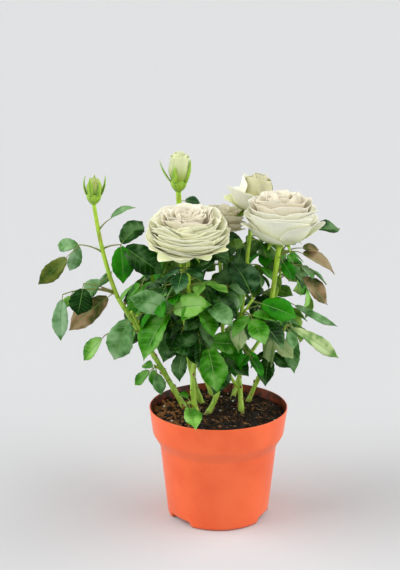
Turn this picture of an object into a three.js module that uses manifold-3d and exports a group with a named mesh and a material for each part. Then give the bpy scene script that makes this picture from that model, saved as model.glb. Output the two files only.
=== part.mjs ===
// A white patio rose growing in a plastic nursery pot.
//
// Millimetres, +Z up. The origin is the middle of the pot's flat underside and the
// plant's front faces -Y. Directions are given as an azimuth (degrees from +X
// towards +Y) and a rise (degrees above the horizontal).
//
// The canes stand in the soil and end where foliage begins. Each foliage node is one
// stem with its compound leaves fused on. Blooms and buds sit on the stems' tips.

import * as THREE from 'three';
import { mergeVertices } from 'three/addons/utils/BufferGeometryUtils.js';
import Module from 'manifold-3d';

const wasm = await Module();
wasm.setup();

// ---------------------------------------------------------------- driving dimensions

const GAP = 0.3; // clearance between neighbouring solids
const POT_HEIGHT = 107;
const RIM_RADIUS = 65; // outside, at the lip
const COLLAR_FOOT_RADIUS = 61.8;
const COLLAR_DEPTH = 25; // from the lip to the top of the slanted shoulder
const SHOULDER_DROP = 11;
const BODY_TOP_RADIUS = 55.2;
const BODY_FOOT_RADIUS = 47.6;
const FOOT_ROUND = 3;
const WALL = 1.4;
const FLOOR = 2;
const NOTCH_HEIGHT = 4.5;
const NOTCH_DEPTH = 9;
const NOTCH_HALF_ANGLE = 17;
const NOTCH_AZIMUTHS = [-141, -21, 99];
const DRAIN_RADIUS = 2.5;
const DRAIN_TURN = -11; // from the middle of a notch to its drain hole
const POT_SEGMENTS = 48;

const SOIL_TOP = 99;
const SOIL_EDGE = 97; // where it meets the wall
const SOIL_BUMP = 1.6;

const STALK_RADIUS = 0.8; // the stalk that carries a leaf's leaflets
const LEAF_THICKNESS = 1.4; // where leaflets meet on their stalk; they thin towards the tips
const LEAF_WIDTH = 0.58; // a leaflet's width over its length
const LEAF_FOLD = 0.3; // lift of a leaflet's edges over their distance from its midrib
const LEAF_DROOP = 0.12; // fall of a leaflet's tip over its length
const LEAFLET = 31; // usual length of an end leaflet
const SIDE_STALKLET = 2; // from the stalk to where a side leaflet's blade begins
const END_STALKLET = 5;
const LEAFLET_DROOP = 0.35; // how far leaflets hang below their stalk, over the stalk's sag
const PAIR_SPACING = 0.55; // between pairs of side leaflets, over the end leaflet's length
const SIDE_TURN = 66; // between a side leaflet and its stalk
const SIDE_SCALE = [0.8, 0.64]; // side leaflets over the end leaflet, from the end back
const SPIRAL = 137.5; // turn from one leaf on a stem to the next
const FIRST_SEED = 100; // of the spiral leaves; each further stem's is one more

// Limbs: radius at foot and tip, and the line from foot through the middle to the tip.
const CANES = {
  cane_left: { radii: [3.0, 2.1], line: [[-29, 9, 96], [-60, 7, 153], [-93, 0, 212]] },
  cane_front: { radii: [2.8, 2.2], line: [[-19, -11, 96], [-24, -12, 132], [-20, -15, 166]] },
  cane_centre: { radii: [2.6, 1.9], line: [[-13, -3, 96], [0, 3, 122], [4, 8, 160]] },
  cane_centre_right: { radii: [2.5, 1.9], line: [[22, 3, 96], [20, 6, 128], [18, 10, 160]] },
  cane_right: { radii: [2.2, 1.9], line: [[27, 28, 96], [35, 25, 117], [43, 22, 139]] },
  cane_rear: { radii: [2.6, 2.0], line: [[-14, 25, 96], [-26, 22, 135], [-31, 18, 175]] },
  cane_rear_left: { radii: [2.3, 1.7], line: [[-4, 44, 96], [-16, 54, 122], [-34, 62, 148]] },
  cane_rear_right: { radii: [2.3, 1.7], line: [[14, 42, 96], [24, 54, 124], [40, 62, 150]] },
};

// Foliage: the stem's radii and line, how far its leaves may reach from it, its own
// leaves, and how many more leaves the spiral rule offers it.
// A leaf: [place along the stem, azimuth, rise, stalk, end leaflet, leaflets, sag, roll]
const SHOOTS = {
  foliage_left_tip: {
    radii: [2.1, 1.9], line: [[-93, 0, 212], [-105, -4, 254], [-113, -6, 303]], reach: 85, extra: 0,
    leaves: [
      [0.05, 189, 50, 31, 46, 5, 90, -10],
      [0.26, 178, -12, 4, 26, 1, 20, -40],
      [0.52, 186, 46, 45, 38, 3, 72, -20],
      [0.56, -6, 26, 18, 34, 3, 30, 50],
      [0.74, -8, 52, 10, 24, 1, 15, 20],
    ],
  },
  foliage_left_low: {
    radii: [1.4, 1.0], line: [[-66, 5, 168], [-73, -4, 184], [-80, -15, 204]], reach: 75, extra: 0,
    leaves: [
      [0.3, 188, 32, 38, 26, 1, 62, -30],
      [0.6, 105, 40, 12, 16, 1, 20, 0],
      [0.97, 200, -45, 3, 46, 1, 18, -40],
      [0.8, 30, 35, 12, 28, 3, 30, 30],
    ],
  },
  foliage_left_foot: {
    radii: [1.3, 1.0], line: [[-48, 8, 131], [-54, 2, 141], [-60, -4, 148]], reach: 45, extra: 0,
    leaves: [
      [0.75, 190, 14, 4, 20, 3, 40, -30],
      [0.95, -70, -25, 4, 20, 1, 20, 0],
    ],
  },
  foliage_front: {
    radii: [2.2, 1.8], line: [[-20, -15, 166], [-26, -19, 208], [-28, -24, 258]], reach: 90, extra: 10,
    leaves: [
      [0.42, -138, 62, 33, 46, 3, 78, -10],
      [0.1, -68, 55, 36, 42, 3, 76, -5],
      [0.56, -50, 40, 22, 32, 1, 45, 25],
      [0.72, 165, 14, 22, 34, 3, 30, -30],
      [0.62, -5, 20, 14, 32, 3, 35, 30],
    ],
  },
  foliage_front_foot: {
    radii: [1.2, 1.0], line: [[-21, -12, 106], [-25, -26, 118], [-28, -40, 124]], reach: 50, extra: 0,
    leaves: [
      [0.97, -82, -8, 3, 24, 1, 9, 0],
      [0.5, 120, 40, 4, 14, 1, 20, 0],
    ],
  },
  foliage_centre: {
    radii: [1.9, 1.8], line: [[4, 8, 160], [3, 18, 214], [-1, 28, 263]], reach: 70, extra: 14,
    leaves: [
      [0.6, -60, 24, 8, 28, 3, 45, 0],
      [0.4, -110, 25, 10, 28, 3, 45, 0],
    ],
  },
  foliage_front_right: {
    radii: [1.6, 1.1], line: [[20, 5, 122], [8, -8, 162], [30, -36, 221]], reach: 90, extra: 8,
    leaves: [
      [1.0, 108, 58, 2, 50, 1, 20, 0],
      [0.98, -20, 4, 5, 34, 1, 25, 55],
      [0.92, -125, -40, 5, 30, 1, 20, 0],
      [0.74, -110, -12, 4, 36, 1, 45, 20],
      [0.3, -62, 18, 8, 28, 3, 50, 0],
    ],
  },
  foliage_centre_right: {
    radii: [1.9, 1.9], line: [[18, 10, 160], [24, 26, 212], [31, 40, 278]], reach: 70, extra: 12,
    leaves: [
      [0.72, -165, 24, 10, 28, 3, 30, -20],
      [0.6, -70, 14, 8, 28, 3, 45, 0],
    ],
  },
  foliage_right: {
    radii: [1.9, 2.5], line: [[43, 22, 139], [49, 9, 204], [55, -3, 264]], reach: 80, extra: 9,
    leaves: [
      [0.88, -2, 40, 27, 32, 3, 52, 35],
      [0.76, -8, 8, 28, 33, 3, 45, 35],
      [0.9, 24, 44, 44, 24, 1, 42, 20],
      [0.52, 6, 16, 20, 46, 1, 33, 15],
      [0.9, -60, -10, 5, 20, 1, 20, 30],
    ],
  },
  foliage_right_low: {
    radii: [1.4, 1.0], line: [[34, 25.5, 113], [52, 10, 158], [62, -14, 190]], reach: 80, extra: 5,
    leaves: [
      [1.0, 2, -15, 10, 50, 1, 15, 40],
      [0.96, -70, -40, 3, 46, 1, 40, 0],
      [0.9, -160, -5, 12, 30, 3, 55, -20],
      [0.35, -50, 20, 8, 26, 3, 50, 0],
    ],
  },
  foliage_top: {
    radii: [2.0, 2.2], line: [[-31, 18, 175], [-34, 18, 244], [-37, 8, 312]], reach: 72, extra: 12,
    leaves: [
      [0.92, 12, 15, 5, 12, 1, 10, 0],
    ],
  },
  foliage_rear_left: {
    radii: [1.7, 1.1], line: [[-34, 62, 148], [-52, 70, 190], [-58, 72, 240]], reach: 66, extra: 12,
    leaves: [],
  },
  foliage_rear_right: {
    radii: [1.7, 1.1], line: [[40, 62, 150], [56, 68, 192], [62, 66, 244]], reach: 66, extra: 12,
    leaves: [],
  },
};

// Blooms are turned shapes. From the hip up, each ring is [radius, height, lobes, notch]
// over the bloom's radius. A ring with lobes is the lip of a whorl of petals or sepals:
// between its lobes it drops by the notch towards the ring below. The ring after it is
// the crevice between that whorl and the next.
const ROSETTE = [
  [0.09, 0.16], [0.45, 0.14], [0.7, 0.14], [1.0, 0.24, 5, 0.35], [0.72, 0.36], [0.97, 0.66, 5, 0.35],
  [0.66, 0.6], [0.86, 1.0, 5, 0.3], [0.5, 0.86], [0.6, 1.18, 5, 0.3], [0.34, 1.05], [0.22, 1.2],
];
const OPEN_CUP = [
  [0.09, 0.16], [0.34, 0.2], [0.62, 0.34], [1.0, 0.66, 5, 0.35], [0.7, 0.6], [0.84, 1.0, 5, 0.3],
  [0.54, 0.86], [0.62, 1.22, 5, 0.25], [0.4, 1.08], [0.24, 1.3],
];
const HALF_OPEN = [
  [0.18, 0.3], [0.3, 0.36], [0.6, 0.5, 5, 0.8], [0.46, 0.52], [0.8, 0.85], [1.0, 1.3, 3, 0.4],
  [0.72, 1.15], [0.72, 1.75, 3, 0.35], [0.4, 1.5], [0.24, 1.75],
];
const OPENING_BUD = [
  [0.42, 0.9], [0.9, 1.5], [1.3, 3.0, 5, 0.9], [0.96, 1.9], [1.0, 2.6], [0.8, 4.2], [0.4, 4.75],
];
const TIGHT_BUD = [
  [0.42, 0.9], [0.96, 1.6], [1.3, 3.9, 5, 0.8], [1.0, 2.0], [0.94, 2.6], [0.5, 3.5],
];

// Blooms: the stem they sit on, the azimuth and angle of their lean, radius and rings.
const BLOOMS = {
  bloom_front: { on: 'foliage_front', lean: [-90, 18], radius: 37, rings: ROSETTE },
  bloom_behind: { on: 'foliage_centre', lean: [60, 6], radius: 24, rings: ROSETTE },
  bloom_right: { on: 'foliage_right', lean: [-60, 4], radius: 40, rings: OPEN_CUP },
  bloom_half_open: { on: 'foliage_centre_right', lean: [150, 6], radius: 22, rings: HALF_OPEN },
  bud_top: { on: 'foliage_top', lean: [0, 3], radius: 7.6, rings: OPENING_BUD },
  bud_left: { on: 'foliage_left_tip', lean: [0, 3], radius: 6.8, rings: TIGHT_BUD },
};
const BLOOM_SEGMENTS = 20;
const BLOOM_FOOT = 1.9; // radius where a hip meets its stem

// ---------------------------------------------------------------- helpers

const vec = (...xyz) => new THREE.Vector3(...xyz);
const radians = THREE.MathUtils.degToRad;

/** A repeatable stream of numbers from 0 to 1. */
function seeded(seed) {
  let state = seed >>> 0;
  return () => {
    state = (state + 0x6d2b79f5) >>> 0;
    let t = state;
    t = Math.imul(t ^ (t >>> 15), t | 1);
    t ^= t + Math.imul(t ^ (t >>> 7), t | 61);
    return ((t ^ (t >>> 14)) >>> 0) / 4294967296;
  };
}

/** A closed three.js geometry as a solid that can be joined and cut. */
function solid(geometry) {
  const bare = new THREE.BufferGeometry();
  bare.setAttribute('position', geometry.getAttribute('position'));
  bare.setIndex(geometry.getIndex());
  const merged = mergeVertices(bare, 1e-4);
  return new wasm.Manifold(new wasm.Mesh({
    numProp: 3,
    vertProperties: Float32Array.from(merged.getAttribute('position').array),
    triVerts: Uint32Array.from(merged.getIndex().array),
  }));
}

/** The largest closed body of a solid, with hollows that joining sealed filled. */
function oneBody(shape) {
  const bodies = shape.decompose().filter((body) => body.volume() > 0);
  return bodies.reduce((a, b) => (b.volume() > a.volume() ? b : a));
}

/** A named mesh of a solid. */
function mesh(name, shape, color, roughness) {
  const { vertProperties, triVerts } = shape.getMesh();
  const geometry = new THREE.BufferGeometry();
  geometry.setAttribute('position', new THREE.BufferAttribute(Float32Array.from(vertProperties), 3));
  geometry.setIndex(new THREE.BufferAttribute(Uint32Array.from(triVerts), 1));
  geometry.computeVertexNormals();
  const made = new THREE.Mesh(geometry, new THREE.MeshStandardMaterial({ color, roughness, metalness: 0 }));
  made.name = name;
  return made;
}

/** Moves every vertex of a geometry by a function of its place. */
function reshape(geometry, place) {
  const position = geometry.getAttribute('position');
  const at = vec(0, 0, 0);
  for (let i = 0; i < position.count; i += 1) {
    at.fromBufferAttribute(position, i);
    position.setXYZ(i, ...place(at.x, at.y, at.z));
  }
  return geometry;
}

/** The unit vector of an azimuth and a rise. */
function heading(azimuth, rise) {
  const a = radians(azimuth);
  const r = radians(rise);
  return vec(Math.cos(a) * Math.cos(r), Math.sin(a) * Math.cos(r), Math.sin(r));
}

/** A curve through three points, the middle one half way along. */
function curveThrough([start, middle, end]) {
  const a = vec(...start);
  const c = vec(...end);
  const b = vec(...middle).multiplyScalar(2).sub(a.clone().add(c).multiplyScalar(0.5));
  return new THREE.QuadraticBezierCurve3(a, b, c);
}

/** A tube that tapers along a curve; grow widens it and lengthens it past its ends. */
function limb(curve, footRadius, tipRadius, sides, steps, grow = 0) {
  const across = curve.v1.clone().sub(curve.v0).cross(curve.v2.clone().sub(curve.v1));
  const tangent = curve.getTangent(0);
  if (across.lengthSq() < 1e-6) across.set(0.3, 0.9, 0.1).cross(tangent);
  across.normalize();
  const tube = new THREE.CylinderGeometry(1, 1, 1, sides, steps);
  reshape(tube, (x, y, z) => {
    const t = y + 0.5;
    const radius = THREE.MathUtils.lerp(footRadius, tipRadius, t) + grow;
    const along = curve.getTangent(t);
    const normal = along.clone().cross(across);
    return curve.getPoint(t)
      .addScaledVector(across, x * radius)
      .addScaledVector(normal, -z * radius)
      .addScaledVector(along, Math.round(2 * t - 1) * grow)
      .toArray();
  });
  return solid(tube);
}

// ---------------------------------------------------------------- pot and soil

/** A block on a ring: from one radius to another, over a height and an angle. */
function ringBlock(inner, outer, bottom, top, azimuth, halfAngle) {
  const from = radians(azimuth - halfAngle);
  const to = radians(azimuth + halfAngle);
  const shape = new THREE.Shape();
  shape.absarc(0, 0, outer, from, to, false);
  shape.absarc(0, 0, inner, to, from, true);
  const options = { depth: top - bottom, bevelEnabled: false, curveSegments: 6 };
  return solid(new THREE.ExtrudeGeometry(shape, options).translate(0, 0, bottom));
}

/** A solid of revolution about Z from (radius, height) points that start and end on the axis. */
function turned(points, segments) {
  const profile = points.map(([radius, height]) => new THREE.Vector2(radius, height));
  return solid(new THREE.LatheGeometry(profile, segments).rotateX(Math.PI / 2));
}

const shoulderTop = POT_HEIGHT - COLLAR_DEPTH;
const shoulderFoot = shoulderTop - SHOULDER_DROP;
const notchRoof = NOTCH_HEIGHT + FLOOR; // the floor's inside, over a notch

/** The pot's wall radius at a height, taken off the outside by a thickness. */
function wallProfile(inset) {
  return [
    [BODY_FOOT_RADIUS - inset, FOOT_ROUND],
    [BODY_TOP_RADIUS - inset, shoulderFoot],
    [COLLAR_FOOT_RADIUS - inset, shoulderTop],
    [RIM_RADIUS - inset, POT_HEIGHT],
  ];
}

function makePot() {
  const outside = [[0, 0], [BODY_FOOT_RADIUS - FOOT_ROUND, 0], ...wallProfile(0)];
  const inside = [...wallProfile(WALL).slice(1).reverse(), [BODY_FOOT_RADIUS - WALL, FLOOR + 1]];
  const floor = [[BODY_FOOT_RADIUS - WALL - 1, FLOOR], [0, FLOOR]];
  let pot = turned([...outside, ...inside, ...floor], POT_SEGMENTS);
  for (const azimuth of NOTCH_AZIMUTHS) {
    const inner = BODY_FOOT_RADIUS - NOTCH_DEPTH;
    const outer = BODY_FOOT_RADIUS - WALL / 2;
    const pad = ringBlock(inner - FLOOR, outer, FLOOR / 2, notchRoof, azimuth, NOTCH_HALF_ANGLE + 2);
    const cut = ringBlock(inner, RIM_RADIUS, -1, NOTCH_HEIGHT, azimuth, NOTCH_HALF_ANGLE);
    const drain = new THREE.CylinderGeometry(DRAIN_RADIUS, DRAIN_RADIUS, 4 * FLOOR, 10).rotateX(Math.PI / 2);
    const middle = heading(azimuth + DRAIN_TURN, 0).multiplyScalar(inner + NOTCH_DEPTH / 2);
    pot = pot.add(pad).subtract(cut).subtract(solid(drain.translate(middle.x, middle.y, notchRoof)));
  }
  return oneBody(pot);
}

/** How far the soil's surface lies above its mean level. */
const soilBump = (x, y) => SOIL_BUMP * Math.sin(0.11 * x + 0.05 * y + 1) * Math.cos(0.13 * y - 0.04 * x);

function makeSoil(canes) {
  const inside = wallProfile(WALL + GAP);
  const up = (SOIL_EDGE - shoulderTop) / COLLAR_DEPTH;
  const edgeRadius = THREE.MathUtils.lerp(inside[2][0], inside[3][0], up);
  const rings = [48, 36, 24, 12].map((radius) => [radius, SOIL_TOP]);
  const profile = [
    [0, FLOOR + GAP], [inside[0][0] - 1.5, FLOOR + GAP], [inside[0][0], FLOOR + 2], inside[1], inside[2],
    [edgeRadius, SOIL_EDGE], ...rings, [0, SOIL_TOP],
  ];
  const lathe = new THREE.LatheGeometry(profile.map(([r, h]) => new THREE.Vector2(r, h)), 24)
    .rotateX(Math.PI / 2);
  reshape(lathe, (x, y, z) => [x, y, z < SOIL_TOP ? z : z + soilBump(x, y)]);
  let soil = solid(lathe);
  for (const azimuth of NOTCH_AZIMUTHS) {
    const inner = BODY_FOOT_RADIUS - NOTCH_DEPTH - FLOOR - GAP;
    const block = ringBlock(inner, RIM_RADIUS, 0, notchRoof + GAP, azimuth, NOTCH_HALF_ANGLE + 3);
    soil = soil.subtract(block);
  }
  for (const cane of canes) soil = soil.subtract(cane);
  return oneBody(soil);
}

// ---------------------------------------------------------------- leaves

/**
 * Leaflets that share a root: a flat sphere whose rim is drawn out to their outlines.
 * Each leaflet has its turn about the face, its length and its own rise out of the face.
 */
function blades(root, along, face, droop, leaflets) {
  const outward = (turn) => along.clone().applyAxisAngle(face, radians(turn));
  const rim = leaflets.flatMap(({ turn, length, stalklet }, i) => {
    const level = outward(turn);
    const across = outward(turn + 90);
    const axis = level.clone().applyAxisAngle(across, radians(droop));
    const normal = face.clone().applyAxisAngle(across, radians(droop));
    const point = (t, half) => root.clone()
      .addScaledVector(axis, stalklet + t * length)
      .addScaledVector(across, half * LEAF_WIDTH * length)
      .addScaledVector(normal, (LEAF_FOLD * LEAF_WIDTH * Math.abs(half) - LEAF_DROOP * t * t) * length);
    const next = i + 1 < leaflets.length ? leaflets[i + 1].turn : leaflets[0].turn + 360;
    const neck = root.clone().addScaledVector(outward((turn + next) / 2), STALK_RADIUS * 1.6);
    return [point(0.24, -0.37), point(0.6, -0.5), point(1, 0), point(0.6, 0.5), point(0.24, 0.37), neck];
  });
  const flat = new THREE.SphereGeometry(1, rim.length, 2);
  return solid(reshape(flat, (x, y, z) => {
    if (Math.abs(y) > 0.5) return root.clone().addScaledVector(face, y * LEAF_THICKNESS / 2).toArray();
    const i = Math.round((Math.atan2(z, -x) / (2 * Math.PI)) * rim.length);
    return rim[(i + rim.length) % rim.length].toArray();
  }));
}

/** A compound leaf: a sagging stalk, an end leaflet and pairs of side leaflets. */
function compoundLeaf(root, [, azimuth, rise, stalk, size, count, sag, roll]) {
  const pairs = (count - 1) / 2;
  const length = stalk + Math.max(pairs - 1, 0) * PAIR_SPACING * size;
  const knee = root.clone().addScaledVector(heading(azimuth, rise), length / 2);
  const end = knee.clone().addScaledVector(heading(azimuth, rise - sag), length / 2);
  const curve = new THREE.QuadraticBezierCurve3(root, knee, end);
  const left = heading(azimuth + 90, 0);
  const faceOf = (along) => along.clone().cross(left).applyAxisAngle(along, radians(roll));
  const droop = LEAFLET_DROOP * sag;
  const side = (turn, scale) => ({ turn, length: size * scale, stalklet: SIDE_STALKLET });
  const pair = (scale) => [side(-SIDE_TURN, scale), side(SIDE_TURN, scale)];
  const tip = { turn: 0, length: size, stalklet: END_STALKLET };
  const last = curve.getTangent(1);
  const [rightOne, leftOne] = pair(SIDE_SCALE[0]);
  const ended = pairs > 0 ? [rightOne, tip, leftOne] : [tip];
  const stalkBody = limb(curve, STALK_RADIUS, STALK_RADIUS, 3, 2);
  const parts = [stalkBody, blades(end, last, faceOf(last), droop, ended)];
  if (pairs > 1) {
    const t = 1 - (PAIR_SPACING * size) / length;
    const along = curve.getTangent(t);
    parts.push(blades(curve.getPoint(t), along, faceOf(along), droop, pair(SIDE_SCALE[1])));
  }
  const reach = end.clone().addScaledVector(heading(azimuth, rise - sag - droop), END_STALKLET + size);
  return { shape: wasm.Manifold.union(parts), reach };
}

/** The leaves that the spiral rule adds to a stem. */
function spiralLeaves(count, random) {
  const rows = [];
  const phase = 360 * random();
  for (let i = 0; i < count; i += 1) {
    rows.push([
      0.08 + (0.84 * (i + 0.5)) / count,
      (phase + SPIRAL * i + 30 * (random() - 0.5)) % 360,
      5 + 35 * random(),
      12 + 12 * random(),
      LEAFLET * (0.8 + 0.35 * random()),
      random() < 0.45 ? 5 : 3,
      30 + 35 * random(),
      40 * (random() - 0.5),
    ]);
  }
  return rows;
}

/** True when a shape keeps clear of every other solid. */
const isClear = (shape, others) => others.every((other) => shape.minGap(other, 2 * GAP) >= GAP);

// ---------------------------------------------------------------- blooms

/** A bloom or bud standing along +Z: rings round a hip, with scalloped lips. */
function makeBloom({ radius, rings }) {
  const top = rings.at(-1)[1] * radius;
  const points = [[0, 0], [BLOOM_FOOT, 0], ...rings.map(([r, h]) => [r * radius, h * radius]), [0, top]];
  const bloom = new THREE.LatheGeometry(points.map(([r, h]) => new THREE.Vector2(r, h)), BLOOM_SEGMENTS)
    .rotateX(Math.PI / 2);
  const position = bloom.getAttribute('position');
  for (let i = 0; i < position.count; i += 1) {
    const ring = i % points.length;
    const [, , lobes, notch] = rings[ring - 2] ?? [];
    if (lobes) {
      const [x, y, z] = [position.getX(i), position.getY(i), position.getZ(i)];
      const between = notch * Math.sin((lobes * Math.atan2(y, x)) / 2 + ring) ** 2;
      const inwards = 1 - 0.4 * between;
      position.setXYZ(i, x * inwards, y * inwards, z + (points[ring - 1][1] - z) * between);
    }
  }
  return solid(bloom);
}

/** The same bloom on the tip of a stem, leaning from the vertical. */
function onStem(bloom, curve, [azimuth, lean]) {
  const tip = curve.getPoint(1).addScaledVector(curve.getTangent(1), GAP);
  const axis = heading(azimuth, 90 - lean);
  const turn = new THREE.Quaternion().setFromUnitVectors(vec(0, 0, 1), axis);
  const place = new THREE.Matrix4().compose(tip, turn, vec(1, 1, 1));
  return bloom.transform(place.elements);
}

// ---------------------------------------------------------------- assembly

const plant = new THREE.Group();
const add = (name, shape, color, roughness) => plant.add(mesh(name, shape, color, roughness));

/** A limb or stem of a table, and the same grown by the clearance. */
const limbPair = ({ line, radii }, sides) => {
  const along = curveThrough(line);
  return [0, GAP].map((grow) => limb(along, ...radii, sides, 4, grow));
};

const canes = Object.values(CANES).map((cane) => limbPair(cane, 6));
const grownCanes = canes.map(([, grown]) => grown);
const stems = Object.values(SHOOTS).map((shoot) => {
  const [stem, grown] = limbPair(shoot, 5);
  return [oneBody(grownCanes.reduce((shape, cane) => shape.subtract(cane), stem)), grown];
});

const pot = makePot();
const soil = makeSoil(grownCanes);
const blooms = Object.values(BLOOMS).map((bloom) => {
  const shoot = Object.keys(SHOOTS).indexOf(bloom.on);
  const standing = onStem(makeBloom(bloom), curveThrough(SHOOTS[bloom.on].line), bloom.lean);
  return oneBody(standing.subtract(stems[shoot][1]));
});

// Leaves grow on the stems: first each shoot's own leaves, then those of the spiral rule.
const hard = [pot, soil, ...canes.map(([cane]) => cane), ...blooms];
const foliage = stems.map(([stem]) => stem);
const growLeaf = (shoot, i, row) => {
  const curve = curveThrough(shoot.line);
  const { shape, reach } = compoundLeaf(curve.getPoint(row[0]), row);
  const near = curve.getPoints(12).some((point) => point.distanceTo(reach) < shoot.reach);
  const others = [...hard, ...foliage.filter((other, j) => j !== i)];
  if (near && isClear(shape, others)) foliage[i] = foliage[i].add(shape);
};
const shoots = Object.values(SHOOTS);
shoots.forEach((shoot, i) => shoot.leaves.forEach((row) => growLeaf(shoot, i, row)));
shoots.forEach((shoot, i) => {
  spiralLeaves(shoot.extra, seeded(FIRST_SEED + i)).forEach((row) => growLeaf(shoot, i, row));
});

add('pot', pot, 0xe9693f, 0.45);
add('soil', soil, 0x2e2018, 0.95);
Object.keys(CANES).forEach((name, i) => add(name, canes[i][0], 0x7fa63c, 0.6));
Object.keys(SHOOTS).forEach((name, i) => add(name, oneBody(foliage[i]), 0x3f7a36, 0.5));
Object.keys(BLOOMS).forEach((name, i) => add(name, blooms[i], 0xf0eee0, 0.6));

export default plant;
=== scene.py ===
"""A white patio rose in its nursery pot: the looks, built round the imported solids.

Shapes are worked out in millimetres, +Z up, with the plant's front facing -Y, and scaled to metres when
a piece is finished. Directions are an azimuth (degrees from +X towards +Y) and a rise (degrees above the
horizontal), as in the solids' source. Leaves grow by the source's rule: first those that the solids hold,
then smaller ones that fill each mass within the same reach.
"""

import math
from collections import namedtuple
from functools import lru_cache

import bmesh
import bpy
from mathutils import Matrix, Quaternion, Vector, noise
from mathutils.bvhtree import BVHTree


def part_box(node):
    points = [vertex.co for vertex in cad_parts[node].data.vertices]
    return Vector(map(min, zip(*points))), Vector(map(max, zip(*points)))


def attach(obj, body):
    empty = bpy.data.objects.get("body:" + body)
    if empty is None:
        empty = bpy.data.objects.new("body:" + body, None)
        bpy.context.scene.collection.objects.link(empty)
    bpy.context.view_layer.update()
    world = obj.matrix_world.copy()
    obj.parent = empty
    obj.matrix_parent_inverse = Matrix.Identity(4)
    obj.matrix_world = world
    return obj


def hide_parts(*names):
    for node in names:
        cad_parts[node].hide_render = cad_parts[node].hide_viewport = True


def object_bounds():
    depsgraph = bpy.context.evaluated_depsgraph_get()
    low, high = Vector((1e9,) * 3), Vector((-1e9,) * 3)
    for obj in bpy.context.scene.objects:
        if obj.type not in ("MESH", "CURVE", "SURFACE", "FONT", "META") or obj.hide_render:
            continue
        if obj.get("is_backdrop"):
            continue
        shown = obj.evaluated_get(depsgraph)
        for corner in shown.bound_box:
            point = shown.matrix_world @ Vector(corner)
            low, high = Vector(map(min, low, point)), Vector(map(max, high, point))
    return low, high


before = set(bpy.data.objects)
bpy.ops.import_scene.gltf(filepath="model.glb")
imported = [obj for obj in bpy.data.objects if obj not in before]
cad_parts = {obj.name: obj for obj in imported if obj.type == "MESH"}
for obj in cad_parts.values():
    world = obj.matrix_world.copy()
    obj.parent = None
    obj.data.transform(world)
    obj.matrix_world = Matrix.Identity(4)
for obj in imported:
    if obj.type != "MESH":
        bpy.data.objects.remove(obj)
cad_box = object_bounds()

MM = 0.001
UP = Vector((0, 0, 1))
TURN = 6.28  # near enough a full turn, for angles and phases left to chance

# ---------------- sizes, in millimetres and degrees

GAP = 0.3  # between a stem's tip and its bloom, as in the solids

COLLAR_DEPTH = 25  # of the pot, from its lip to the slanted shoulder
SHOULDER_DROP = 11
COLLAR_FOOT_RADIUS = 61.8
BODY_TOP_RADIUS = 55.2
BODY_FOOT_RADIUS = 47.6
WALL = 1.4
FLOOR = 2
NOTCH_HEIGHT = 4.5
NOTCH_DEPTH = 9
NOTCH_HALF_ANGLE = 17
NOTCH_AZIMUTHS = (-141, -21, 99)
DRAIN_RADIUS = 2.5
DRAIN_TURN = -11
SOIL_TOP = 99
SOIL_BUMP = 1.6

STALK_RADIUS = 0.8
STALK_TIP_RADIUS = 0.55
LEAF_WIDTH = 0.62  # of a leaflet, over its length
LEAF_FOLD = 0.45  # how steeply it rises from its midrib to its edges
LEAF_DROOP = 0.15  # how far its tip hangs, over its length
SOLID_DROOP = 0.12  # the same for the solids' leaflets
LEAFLET = 31  # the length of an end leaflet that the rule gives
FILL_LEAFLET = LEAFLET * 0.85
SIDE_STALKLET = 2
END_STALKLET = 5
LEAFLET_DROOP = 0.35  # over its leaf's sag
PAIR_SPACING = 0.55
SIDE_TURN = 66
SIDE_SCALE = (0.8, 0.64)  # of the outer and the inner pair, over the end leaflet
SPIRAL = 137.5  # from one leaf of a stem to the next

# Seeds. A cane's, a mass's or a bloom's place in its table is added to its seeds.
FIRST_SEED = 100  # of the leaves that the solids hold
FILL_SEED = 300  # of the leaves that fill between them
LOOKS_SEED = 350  # of the leaves' tints and blades
CANE_SEED = 400
CRUMB_SEED = 500
BLOOM_SEED = 600
PETAL_SEED = 3  # of all petals' crumpling

# Canes: the radii of their foot and tip, and the start, middle and end of their line.
CANES = {
    "cane_left": ((2.7, 2.1), ((-29, 9, 96), (-60, 7, 153), (-93, 0, 212))),
    "cane_front": ((2.8, 2.2), ((-19, -11, 96), (-24, -12, 132), (-20, -15, 166))),
    "cane_centre": ((2.6, 1.9), ((-13, -3, 96), (0, 3, 122), (4, 8, 160))),
    "cane_centre_right": ((2.5, 1.9), ((22, 3, 96), (20, 6, 128), (18, 10, 160))),
    "cane_right": ((2.2, 1.9), ((27, 28, 96), (35, 25, 117), (43, 22, 139))),
    "cane_rear": ((2.6, 2.0), ((-14, 25, 96), (-26, 22, 135), (-31, 18, 175))),
    "cane_rear_left": ((2.3, 1.7), ((-4, 44, 96), (-16, 54, 122), (-34, 62, 148))),
    "cane_rear_right": ((2.3, 1.7), ((14, 42, 96), (24, 54, 124), (40, 62, 150))),
}

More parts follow.
